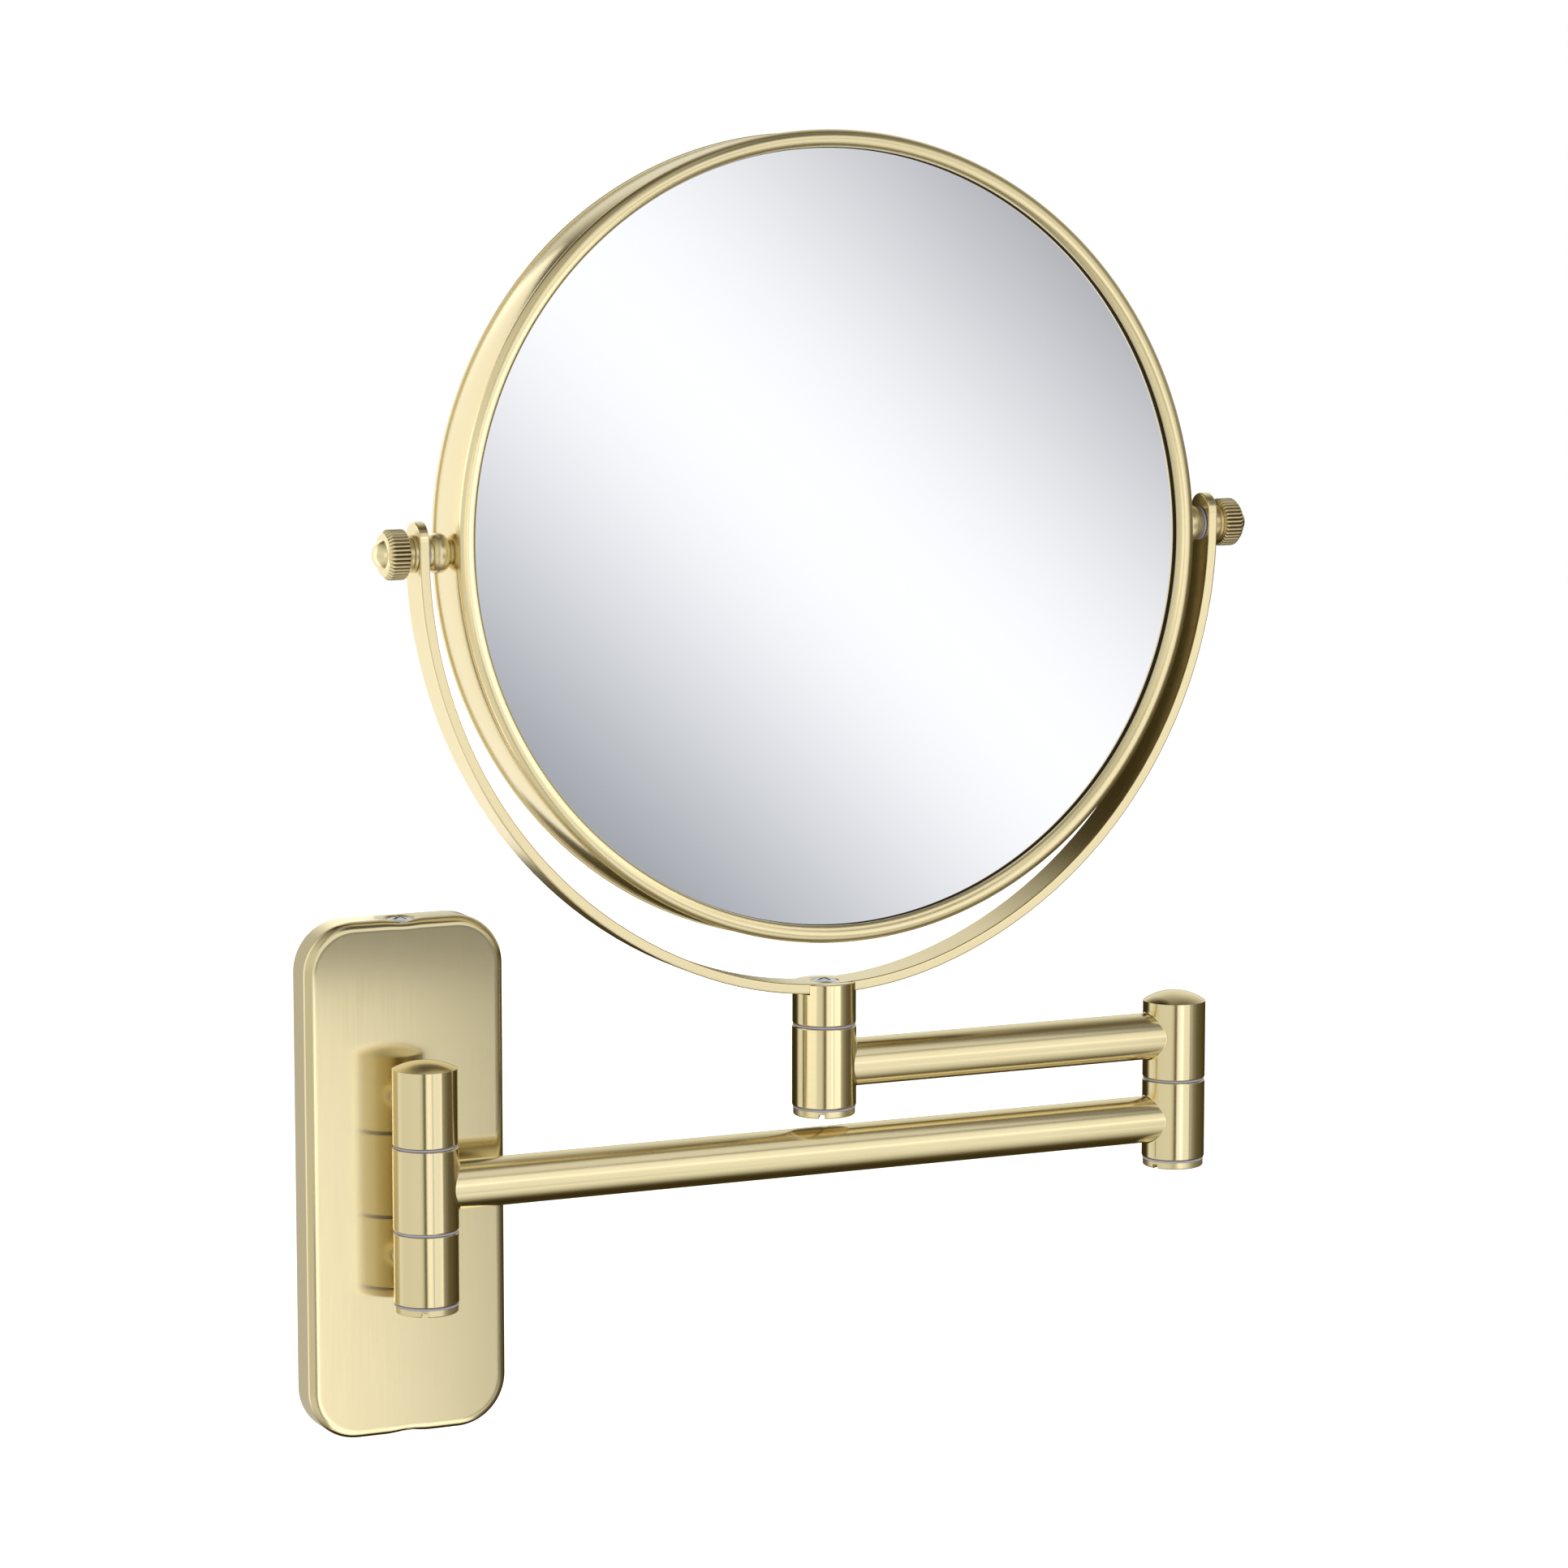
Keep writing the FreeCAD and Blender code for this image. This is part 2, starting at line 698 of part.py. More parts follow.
def pivot_boss(side):
    """A turned boss: flared foot, round bead, neck, and a shank through the band."""
    foot = band_radius - overrun
    flare = band_radius + boss_foot_height
    bead_middle = flare + boss_bead_length / 2
    neck = flare + boss_bead_length
    end = band_radius + boss_reach
    shank_end = band_bore_radius - boss_nut_height - boss_nut_margin
    bore = knob_shank_radius + running_clearance
    boss = turned((0, foot), (boss_foot_radius, foot), (boss_foot_radius, band_radius),
                  (boss_waist_radius, flare), ((boss_bead_radius, bead_middle), (boss_neck_radius, neck)),
                  (boss_neck_radius, end), (0, end))
    saddle = ring(band_radius + seat_gap, 0, back_seam, front_seam - back_seam)
    boss = leaned(on_pivot(boss, side)).cut(facing(saddle))
    shank = cylinder(boss_shank_radius, along_z * shank_end, along_z, flare - shank_end)
    thread_end = along_z * (knob_face - knob_shank_length - thread_room)
    thread = cylinder(bore, thread_end, along_z, knob_shank_length)
    return boss.fuse(on_pivot(shank, side)).cut(on_pivot(thread, side))


def left_pivot_boss():
    return pivot_boss(-1)


def right_pivot_boss():
    return pivot_boss(1)


def boss_nuts():
    seat = math.sqrt(band_bore_radius ** 2 - boss_nut_radius ** 2) - seat_gap
    hole_radius = boss_shank_radius + running_clearance
    nut = ring(boss_nut_radius, hole_radius, seat - boss_nut_height, boss_nut_height)
    return Part.makeCompound([on_pivot(nut, side) for side in (-1, 1)])


def knurl_grooves(start, length):
    """V grooves along the barrel, spaced evenly around it."""
    half = knob_radius * math.sin(math.pi / knurl_count)
    peak = knob_radius - knurl_depth
    high = knob_radius + knurl_depth
    flank = half * (high - peak) / knurl_depth
    corners = [vec(peak, 0, start), vec(high, -flank, start), vec(high, flank, start), vec(peak, 0, start)]
    groove = Part.Face(Part.makePolygon(corners)).extrude(along_z * length)
    turn = 360 / knurl_count
    return Part.makeCompound([groove.rotated(origin, along_z, turn * index) for index in range(knurl_count)])


def knob(side):
    """A knurled head with a domed tip, and the shank that enters the boss."""
    near = knob_face
    barrel_end = near + knob_barrel_length
    end = barrel_end + knob_chamfer_length
    curve = (knob_dome_radius ** 2 + knob_dome_height ** 2) / (2 * knob_dome_height)
    half_angle = math.asin(knob_dome_radius / curve) / 2
    dome_middle = (curve * math.sin(half_angle), end + knob_dome_height - curve * (1 - math.cos(half_angle)))
    head = turned((0, near), (knob_radius - knob_near_chamfer, near), (knob_radius, near + knob_near_chamfer),
                  (knob_radius, barrel_end), (knob_radius - knob_chamfer_depth, end), (knob_dome_radius, end),
                  (dome_middle, (0, end + knob_dome_height)))
    head = head.cut(knurl_grooves(near - overrun, end - near + 2 * overrun))
    shank = cylinder(knob_shank_radius, along_z * (near - knob_shank_length), along_z, knob_shank_length)
    return leaned(on_pivot(head.fuse(shank), side))


def left_knob():
    return knob(-1)


def right_knob():
    return knob(1)


pieces = [
    wall_bracket, wall_plate, plate_screws, upper_wall_knuckle, lower_wall_knuckle, knuckle_screws,
    wall_hinge_pin, wall_post_washers, wall_post_end_screw,
    lower_arm_wall_knuckle, lower_arm_tube, lower_arm_elbow_knuckle,
    upper_arm_elbow_knuckle, upper_arm_tube, upper_arm_mirror_knuckle,
    elbow_pin, elbow_washers, elbow_end_screw,
    yoke_stem, yoke, yoke_screw, mirror_post_washers, mirror_post_end_screw,
    pivot_washers, knob_washers,
    frame_band, front_bezel, back_bezel, plain_mirror, magnifying_mirror, mirror_spacer,
    left_pivot_boss, right_pivot_boss, boss_nuts, left_knob, right_knob,
]

os.makedirs("parts", exist_ok=True)
for piece in pieces:
    shape = piece()
    shape.exportStep("parts/" + piece.__name__ + ".step")
    print(piece.__name__, "solids", len(shape.Solids), "valid", shape.isValid())
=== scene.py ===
import math

import bmesh
import bpy
from mathutils import Matrix, Vector


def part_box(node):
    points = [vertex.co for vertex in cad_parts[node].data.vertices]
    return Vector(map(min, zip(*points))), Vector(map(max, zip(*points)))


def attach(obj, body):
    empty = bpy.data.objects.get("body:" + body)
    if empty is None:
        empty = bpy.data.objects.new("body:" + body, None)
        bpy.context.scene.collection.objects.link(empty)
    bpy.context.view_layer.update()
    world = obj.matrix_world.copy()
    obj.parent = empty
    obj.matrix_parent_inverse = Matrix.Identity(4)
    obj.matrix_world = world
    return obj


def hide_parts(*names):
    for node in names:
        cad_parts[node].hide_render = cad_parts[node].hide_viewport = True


bl_info = {
    "name": "Wall makeup mirror",
    "version": (1, 0, 0),
    "blender": (4, 5, 0),
    "location": "View3D > Sidebar > Makeup mirror",
    "description": "Dresses the packed makeup mirror and sets it in a pale studio",
    "category": "Object",
}

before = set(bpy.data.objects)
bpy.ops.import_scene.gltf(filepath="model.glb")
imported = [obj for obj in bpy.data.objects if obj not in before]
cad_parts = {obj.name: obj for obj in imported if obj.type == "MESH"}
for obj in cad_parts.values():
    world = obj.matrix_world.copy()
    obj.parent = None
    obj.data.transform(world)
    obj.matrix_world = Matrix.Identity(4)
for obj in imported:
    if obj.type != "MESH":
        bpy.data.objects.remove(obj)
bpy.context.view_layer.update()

MM = 0.001
# Middle of the mirror head, how far it leans back at rest, the turn that squares it up, and the place of shapes made
# about Z on it
HEAD_CENTRE = Vector((108.6, -21.4, 156.52)) * MM
HEAD_TILT = math.radians(3.0)
HEAD_SQUARE = Matrix.Rotation(HEAD_TILT, 4, "X") @ Matrix.Translation(-HEAD_CENTRE)
HEAD_PLACE = Matrix.Translation(HEAD_CENTRE) @ Matrix.Rotation(math.pi / 2 - HEAD_TILT, 4, "X")
ELBOW_X = 210.4 * MM

# Size of the brushed pattern across and along its lines; real lines are finer, these are as coarse as it takes to show
BRUSH_FINE, BRUSH_LONG = 0.25 * MM, 20.0 * MM
# The same round the head, where the first two axes are a direction and the third is a length
RING_LINES = (0.2, 0.2, BRUSH_FINE)
# Roughness between the smoothest and the dullest brush line
BRUSHED = (0.15, 0.19)
# Most of a noise texture's values lie between these
NOISE_LOW, NOISE_HIGH = 0.3, 0.7


def linear(hex_colour):
    """An sRGB hex colour as linear red, green, blue and alpha."""
    parts = [int(hex_colour[i:i + 2], 16) / 255 for i in (0, 2, 4)]
    return tuple(c / 12.92 if c <= 0.04045 else ((c + 0.055) / 1.055) ** 2.4 for c in parts) + (1.0,)


def darker(colour, share):
    """A linear colour scaled down to a share of its light."""
    return tuple(c * share for c in colour[:3]) + (1.0,)


def pivot_place(side):
    """Stands a shape made about Z on the tilt pivot, pointing left (-1) or right (1) from the head's middle."""
    return Matrix.Translation(HEAD_CENTRE) @ Matrix.Rotation(side * math.pi / 2, 4, "Y")


def node(tree, kind, inputs=None, **settings):
    """Adds one node; inputs are values or (node, output) links, by socket."""
    made = tree.nodes.new(kind)
    for key, value in settings.items():
        if key == "stops":
            ramp = made.color_ramp.elements
            while len(ramp) < len(value):
                ramp.new(0.5)
            for stop, (place, colour) in zip(ramp, value):
                stop.position = place
                stop.color = colour
        else:
            setattr(made, key, value)
    for key, value in (inputs or {}).items():
        if isinstance(value, tuple) and isinstance(value[0], bpy.types.Node):
            tree.links.new(value[0].outputs[value[1]], made.inputs[key])
        else:
            made.inputs[key].default_value = value
    return made


# Sizes and colours

def colour_property(name, description, hex_colour):
    """A colour that a user may change."""
    return bpy.props.FloatVectorProperty(name=name, description=description, size=4, subtype="COLOR",
                                         min=0.0, max=1.0, default=linear(hex_colour))


def length_property(name, description, default):
    """A length that a user may change, in metres."""
    return bpy.props.FloatProperty(name=name, description=description, default=default, min=0.0,
                                   subtype="DISTANCE", unit="LENGTH")


class MIRROR_PG_finishes(bpy.types.PropertyGroup):
    gold: colour_property("Gold", "Champagne gold plating", "F7EBC6")
    gold_deep: colour_property("Deep gold", "The plating where it lies a little thicker", "F3E5BD")
    plate_gold: colour_property("Plate gold", "The plating on the wall plate's sheet", "E3D7B5")
    plate_deep: colour_property("Plate deep gold", "The same where it lies a little thicker", "DED2AD")
    # Painted shade: the knurl's grooves get this darker colour where shade falls in them
    groove: colour_property("Knurl grooves", "Dull plating at the bottom of the knurl", "6B5320")
    chrome: colour_property("Chrome", "Chrome plating of the small screws", "D8DCE8")
    zinc: colour_property("Zinc", "Zinc plating of the hidden steel", "B9BDC2")
    nylon: colour_property("Nylon", "Grey bearing washers", "A9A8B8")
    black_plastic: colour_property("Black plastic", "Ring between the two glasses", "232426")
    # Painted shade: the dark strip round each glass stands in for the shade in the gap under the rim's lip
    strip_shade: colour_property("Rubber", "Bedding strip round the glasses", "2B1E0C")
    silver: colour_property("Silver", "Silvering behind the glass", "F3F4F8")


class MIRROR_PG_plate(bpy.types.PropertyGroup):
    corner: length_property("Corner radius", "Radius of the plate's corners", 12.8 * MM)
    edge: length_property("Edge depth", "Depth of the rolled front edge", 2.4 * MM)
    roll: length_property("Edge width", "How far the rolled edge reaches across the front", 2.6 * MM)
    wall: length_property("Wall", "Thickness of the sheet", 1.5 * MM)
    setback: length_property("Screw setback", "Distance of the edge screws from the wall", 4.8 * MM)
    dimple_depth: length_property("Dimple depth", "How far the edge is pressed in at a screw", 0.55 * MM)
    dimple_radius: length_property("Dimple radius", "How far from the screw the edge is pressed in", 6.4 * MM)
    seat_radius: length_property("Screw seat", "Radius of the screw's countersink at the plate's edge", 4.3 * MM)
    hole_radius: length_property("Screw hole", "Radius of the hole below the countersink", 1.65 * MM)
    stub_hole: length_property("Stub hole", "Radius of the holes for the post's stubs", 3.05 * MM)
    upper_stub: bpy.props.FloatProperty(name="Upper stub", description="Height of the upper stub",
                                        default=20.41 * MM, subtype="DISTANCE", unit="LENGTH")
    lower_stub: bpy.props.FloatProperty(name="Lower stub", description="Height of the lower stub",
                                        default=-19.81 * MM, subtype="DISTANCE", unit="LENGTH")


class MIRROR_PG_arms(bpy.types.PropertyGroup):
    weld: length_property("Weld radius", "Radius of the hollow where a tube meets a knuckle", 0.5 * MM)
    tube: length_property("Tube radius", "Outer radius of the arm tubes", 6.1 * MM)
    knuckle: length_property("Knuckle radius", "Radius of the arm knuckles", 8.2 * MM)


class MIRROR_PG_knobs(bpy.types.PropertyGroup):
    radius: length_property("Radius", "Radius over the knurl", 6.15 * MM)
    barrel: length_property("Barrel", "Length of the knurled barrel", 4.3 * MM)
    chamfer: length_property("Chamfer", "Chamfer at the outer end of the barrel", 1.0 * MM)
    dome_radius: length_property("Dome radius", "Radius of the domed tip at its foot", 3.8 * MM)
    dome_height: length_property("Dome height", "Height of the domed tip", 2.7 * MM)
    shank_radius: length_property("Shank radius", "Radius of the screw shank", 2.0 * MM)
    shank_length: length_property("Shank length", "Length of the screw shank", 9.6 * MM)
    ridges: bpy.props.IntProperty(name="Ridges", description="Ridges of the knurl", default=36, min=3)
    depth: length_property("Knurl depth", "Depth of the grooves between the ridges", 0.45 * MM)


class MIRROR_PG_head(bpy.types.PropertyGroup):
    band: length_property("Band radius", "Outer radius of the band", 101.2 * MM)
    band_wall: length_property("Band wall", "Thickness of the band", 1.2 * MM)
    rim: length_property("Rim radius", "Outer radius of the half-round rims", 101.49 * MM)
    bead: length_property("Bead radius", "Radius of the half-round rims", 2.2 * MM)
    lip: length_property("Lip depth", "Height of the lip that holds the glass", 1.2 * MM)
    front: length_property("Front lip", "Front lip from the head's middle", 6.0 * MM)
    back: length_property("Back lip", "Back lip from the head's middle", 8.7 * MM)
    strip: length_property("Bedding strip", "Height of the dark strip between glass and rim", 0.9 * MM)
    glass: length_property("Glass radius", "Outer radius of the glasses", 98.6 * MM)
    dish: length_property("Dish", "How far the magnifying glass is dished", 7.0 * MM)
    dished_glass: length_property("Dished glass", "Thickness of the magnifying glass", 2.5 * MM)
    boss_bead: length_property("Boss bead", "Radius of the pivot bosses' round bead", 4.95 * MM)
    boss_neck: length_property("Boss neck", "Radius of the pivot bosses' neck", 3.75 * MM)
    boss_shank: length_property("Boss shank", "Radius of the pivot bosses' shank through the band", 2.2 * MM)


class MIRROR_PG_fixings(bpy.types.PropertyGroup):
    head: length_property("Screw head", "Radius of the cross-head screws", 3.7 * MM)
    rise: length_property("Screw crown", "Height of the screw heads' crown", 0.8 * MM)
    shank: length_property("Screw shank", "Radius of the screws' shank", 1.6 * MM)
    length: length_property("Screw length", "Length of the screws", 8.0 * MM)
    washer: length_property("Post washers", "Radius of the posts' washers", 8.0 * MM)
    washer_height: length_property("Post washer height", "Thickness of the posts' washers", 0.56 * MM)
    pivot_washer: length_property("Pivot washers", "Radius of the washers inside the yoke's ears", 4.3 * MM)
    pivot_height: length_property("Pivot washer height", "Thickness of the washers inside the ears", 0.5 * MM)
    ring_height: length_property("Spacer rings", "Thickness of the rings between ear and knob", 0.75 * MM)


class MIRROR_PG_studio(bpy.types.PropertyGroup):
    floor_level: bpy.props.FloatProperty(name="Floor level", description="Height of the floor",
                                         default=-0.32, subtype="DISTANCE", unit="LENGTH")
    floor: colour_property("Floor", "Pale studio floor", "F4F4F4")
    strength: bpy.props.FloatProperty(name="Light strength", description="Strength of the studio light",
                                      default=1.25, min=0.0)
    lens: bpy.props.FloatProperty(name="Lens", description="Focal length in millimetres",
                                  default=117.55, min=1.0, unit="CAMERA")


# Materials

def new_material(name):
    """A material with an empty node tree."""
    made = bpy.data.materials.new(name)
    made.use_nodes = True
    made.node_tree.nodes.clear()
    return made


def brushed_gold(name, tones, lines, gloss, drawn, axis, quarter_turn=0.0, ring=False):
    """Brass plated champagne gold and satin brushed: reflections are drawn out across the brush lines, and fine
    streaks of duller and brighter metal follow them.

    tones are the two shades of the plating, lines gives the spacing of the pattern along each axis, gloss the range
    of roughness, drawn how far reflections are drawn out, round the given axis, or along it where quarter_turn is
    0.25, and ring says that the lines run round the head."""
    material = new_material(name)
    tree = material.node_tree
    place = node(tree, "ShaderNodeTexCoord")
    spot = (place, "Object")
    if ring:
        square = node(tree, "ShaderNodeMapping", {"Vector": spot, "Location": HEAD_SQUARE.to_translation(),
                                                  "Rotation": HEAD_SQUARE.to_euler()})
        axes = node(tree, "ShaderNodeSeparateXYZ", {"Vector": (square, "Vector")})
        flat = node(tree, "ShaderNodeCombineXYZ", {"X": (axes, "X"), "Z": (axes, "Z")})
        radius = node(tree, "ShaderNodeVectorMath", {0: (flat, "Vector")}, operation="LENGTH")
        depth = node(tree, "ShaderNodeMath", {0: (radius, "Value"), 1: (axes, "Y")}, operation="ADD")
        flat = node(tree, "ShaderNodeVectorMath", {0: (flat, "Vector")}, operation="NORMALIZE")
        axes = node(tree, "ShaderNodeSeparateXYZ", {"Vector": (flat, "Vector")})
        spot = (node(tree, "ShaderNodeCombineXYZ", {"X": (axes, "X"), "Y": (axes, "Z"), "Z": (depth, "Value")}),
                "Vector")
    stretched = node(tree, "ShaderNodeMapping", {"Vector": spot, "Scale": [1.0 / size for size in lines]})
    streaks = node(tree, "ShaderNodeTexNoise", {"Vector": (stretched, "Vector"), "Scale": 1.0, "Detail": 3.0,
                                                "Roughness": 0.6})
    # Soft patches of thicker plating, about 22 mm across
    cloud = node(tree, "ShaderNodeTexNoise", {"Vector": (place, "Object"), "Scale": 45.0, "Detail": 2.0})
    colour = node(tree, "ShaderNodeMix", {"Factor": (cloud, "Fac"), "A": tones[0], "B": tones[1]}, data_type="RGBA")
    rough = node(tree, "ShaderNodeMapRange", {"Value": (streaks, "Fac"), "From Min": NOISE_LOW,
                                              "From Max": NOISE_HIGH, "To Min": gloss[0], "To Max": gloss[1]})
    bump = node(tree, "ShaderNodeBump", {"Height": (streaks, "Fac"), "Strength": 0.12, "Distance": 0.02 * MM})
    along = node(tree, "ShaderNodeTangent", direction_type="RADIAL", axis=axis)
    surface = node(tree, "ShaderNodeBsdfPrincipled", {
        "Base Color": (colour, "Result"), "Metallic": 1.0, "Roughness": (rough, "Result"),
        "Anisotropic": drawn, "Anisotropic Rotation": quarter_turn, "Normal": (bump, "Normal"),
        "Tangent": (along, "Tangent")})
    node(tree, "ShaderNodeOutputMaterial", {"Surface": (surface, "BSDF")})
    return material


def mottled(name, colour, share, size, detail, surface):
    """A material that drifts, in soft patches of the given size, between a colour and a share of it; surface gives the
    shader's other inputs from the tree and its noise."""
    material = new_material(name)
    tree = material.node_tree
    place = node(tree, "ShaderNodeTexCoord")
    cloud = node(tree, "ShaderNodeTexNoise", {"Vector": (place, "Object"), "Scale": 1.0 / size, "Detail": detail})
    shade = node(tree, "ShaderNodeMix", {"Factor": (cloud, "Fac"), "A": colour, "B": darker(colour, share)},
                 data_type="RGBA")
    shader = node(tree, "ShaderNodeBsdfPrincipled", {"Base Color": (shade, "Result"), **surface(tree, cloud)})
    node(tree, "ShaderNodeOutputMaterial", {"Surface": (shader, "BSDF")})
    return material


def plain_metal(name, colour, low, high, size):
    """A smooth plated metal whose gloss varies a little, between two values of roughness, in soft patches."""
    def surface(tree, cloud):
        rough = node(tree, "ShaderNodeMapRange", {"Value": (cloud, "Fac"), "From Min": NOISE_LOW,
                                                  "From Max": NOISE_HIGH, "To Min": low, "To Max": high})
        return {"Metallic": 1.0, "Roughness": (rough, "Result")}

    return mottled(name, colour, 0.94, size, 3.0, surface)


def silvered_glass(name, colour):
    """Float glass with silvering behind it: a true mirror, its tint changing very slightly across the sheet."""
    return mottled(name, colour, 0.99, 125 * MM, 1.0, lambda tree, cloud: {"Metallic": 1.0, "Roughness": 0.0})


def moulded_plastic(name, colour):
    """Moulded plastic with the fine dull grain of a spark-eroded tool, a third of a millimetre across, which is coarser
    than the real one so that it shows."""
    def surface(tree, grain):
        bump = node(tree, "ShaderNodeBump", {"Height": (grain, "Fac"), "Strength": 0.1, "Distance": 0.03 * MM})
        return {"Roughness": 0.5, "Normal": (bump, "Normal")}

    return mottled(name, colour, 0.85, MM / 3, 2.0, surface)


def knurled_gold(name, finishes):
    """Polished champagne gold on a knurl: bright ridges, and duller plating in the grooves, where the polishing wheel
    never reaches; the grooves' darker colour is painted shade. The mesh's groove attribute says where those are."""
    material = new_material(name)
    tree = material.node_tree
    place = node(tree, "ShaderNodeTexCoord")
    cloud = node(tree, "ShaderNodeTexNoise", {"Vector": (place, "Object"), "Scale": 1.0 / (20 * MM), "Detail": 3.0})
    groove = node(tree, "ShaderNodeAttribute", attribute_name="groove")
    ridge = node(tree, "ShaderNodeMix", {"Factor": (cloud, "Fac"), "A": finishes.gold, "B": finishes.gold_deep},
                 data_type="RGBA")
    # Painted shade: the grooves are coloured darker, besides their duller roughness below
    colour = node(tree, "ShaderNodeMix", {"Factor": (groove, "Fac"), "A": (ridge, "Result"),
                                          "B": finishes.groove}, data_type="RGBA")
    rough = node(tree, "ShaderNodeMapRange", {"Value": (groove, "Fac"), "To Min": 0.27, "To Max": 0.42})
    surface = node(tree, "ShaderNodeBsdfPrincipled", {"Base Color": (colour, "Result"), "Metallic": 1.0,
                                                      "Roughness": (rough, "Result")})
    node(tree, "ShaderNodeOutputMaterial", {"Surface": (surface, "BSDF")})
    return material


def shade_strip_finish(name, colour):
    """Dark brown strip whose colour is painted shade for the gap under a rim's lip: almost no light comes back but a
    dull sheen.
    """
    return mottled(name, colour, 0.6, MM / 1.5, 2.0,
                   lambda tree, grain: {"Roughness": 0.7, "Specular IOR Level": 0.2})


def material_once(name, make, *details):
    """A material that several steps share."""
    return bpy.data.materials.get(name) or make(name, *details)


def gold_tones(context):
    """The two shades of the gold plating."""
    return context.scene.mirror_finishes.gold, context.scene.mirror_finishes.gold_deep


def ringwise_gold(context):
    """Brushed gold whose lines run round the head, on the band and the yoke."""
    return material_once("brushed_gold_ringwise", brushed_gold, gold_tones(context), RING_LINES, BRUSHED, 0.5, "Y",
                         0.25, True)


def polished_gold(context):
    """Buffed champagne gold on the small turned pieces: clear, bright reflections."""
    return material_once("polished_gold", plain_metal, context.scene.mirror_finishes.gold[:], 0.1, 0.16, 20.0 * MM)


def finish_nodes(material, *names):
    """Gives CAD nodes that keep their own mesh a material."""
    for name in names:
        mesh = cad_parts[name].data
        mesh.materials.clear()
        mesh.materials.append(material)


# Shapes

def finish_piece(name, mesh, body, slot, material, *replaced, crease=35.0):
    """Makes a finished mesh a piece of the object, in place of the CAD nodes that it stands for."""
    mesh.name = name
    mesh.shade_smooth()
    mesh.set_sharp_from_angle(angle=math.radians(crease))
    mesh.materials.clear()
    mesh.materials.append(material)
    piece = bpy.data.objects.new(name, mesh)
    bpy.context.scene.collection.objects.link(piece)
    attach(piece, body)
    if replaced:
        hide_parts(*replaced)
    return piece


def evaluated_mesh(thing):
    """The plain mesh that an object's modifiers give; the object itself is removed."""
    bpy.context.view_layer.update()
    mesh = bpy.data.meshes.new_from_object(thing.evaluated_get(bpy.context.evaluated_depsgraph_get()))
    source = thing.data
    bpy.data.objects.remove(thing)
    bpy.data.meshes.remove(source)
    return mesh


def finished_mesh(builder, name):
    """The builder's mesh with its faces turned outwards."""
    bmesh.ops.recalc_face_normals(builder, faces=builder.faces)
    mesh = bpy.data.meshes.new(name)
    builder.to_mesh(mesh)
    builder.free()
    return mesh


def built_object(builder, name):
    """The builder's mesh as an object that modifiers can work on."""
    thing = bpy.data.objects.new(name, finished_mesh(builder, name))
    bpy.context.scene.collection.objects.link(thing)
    return thing


def skin(builder, rows, closed=True):
    """Joins rows of vertices by faces; a row of one vertex is a pole, and closed rows run round."""
    for low, high in zip(rows, rows[1:]):
        count = max(len(low), len(high))
        for i in range(count if closed else count - 1):
            j = (i + 1) % count
            corners = [low[i % len(low)], low[j % len(low)], high[j % len(high)], high[i % len(high)]]
            builder.faces.new(list(dict.fromkeys(corners)))


def turn_on_lathe(builder, outline, segments, place, ring=False):
    """Turns an outline of (radius, height) points about Z and puts it in place; zero radius is a pole, and a ring's
    outline closes on itself."""
    rows = []
    for radius, height in outline:
        angles = [2 * math.pi * i / segments for i in range(segments if radius > 0 else 1)]
        rows.append([builder.verts.new(place @ Vector((radius * math.cos(a), radius * math.sin(a), height)))
                     for a in angles])
    skin(builder, rows + rows[:1] if ring else rows)
    return rows


def cut_away(thing, builder):
    """Cuts the builder's closed shape out of an object and gives the mesh that is left."""
    tool = built_object(builder, "cutter")
    cut = thing.modifiers.new("cut", "BOOLEAN")
    cut.object = tool
    cut.operation = "DIFFERENCE"
    cut.solver = "EXACT"
    cut.use_self = True
    mesh = evaluated_mesh(thing)
    bpy.data.meshes.remove(tool.data)
    return mesh


def set_inputs(modifier, values):
    """Sets a geometry nodes modifier's inputs by their names in the tree."""
    for socket in modifier.node_group.interface.items_tree:
        if socket.name in values:
            modifier[socket.identifier] = values[socket.name]


def new_tree(name, **inputs):
    """A geometry tree with named inputs besides its geometry, given with their kinds, and the node that holds them."""
    tree = bpy.data.node_groups.new(name, "GeometryNodeTree")
    tree.interface.new_socket("Geometry", in_out="OUTPUT", socket_type="NodeSocketGeometry")
    for socket, kind in {"Geometry": "Geometry", **inputs}.items():
        tree.interface.new_socket(socket, in_out="INPUT", socket_type="NodeSocket" + kind)
    return tree, node(tree, "NodeGroupInput")


def copies_tree():
    """A tree that sets one shape on each point of a mesh, turned as the point's facing says."""
    tree, given = new_tree("copies", Shape="Object", Material="Material")
    shape = node(tree, "GeometryNodeObjectInfo", {"Object": (given, "Shape")}, transform_space="ORIGINAL")
    facing = node(tree, "GeometryNodeInputNamedAttribute", {"Name": "facing"}, data_type="FLOAT_VECTOR")
    turn = node(tree, "FunctionNodeEulerToRotation", {"Euler": (facing, "Attribute")})
    placed = node(tree, "GeometryNodeInstanceOnPoints", {"Points": (given, "Geometry"),
                                                         "Instance": (shape, "Geometry"),
                                                         "Rotation": (turn, "Rotation")})
    real = node(tree, "GeometryNodeRealizeInstances", {"Geometry": (placed, "Instances")})
    painted = node(tree, "GeometryNodeSetMaterial", {"Geometry": (real, "Geometry"),
                                                     "Material": (given, "Material")})
    node(tree, "NodeGroupOutput", {"Geometry": (painted, "Geometry")})
    return tree


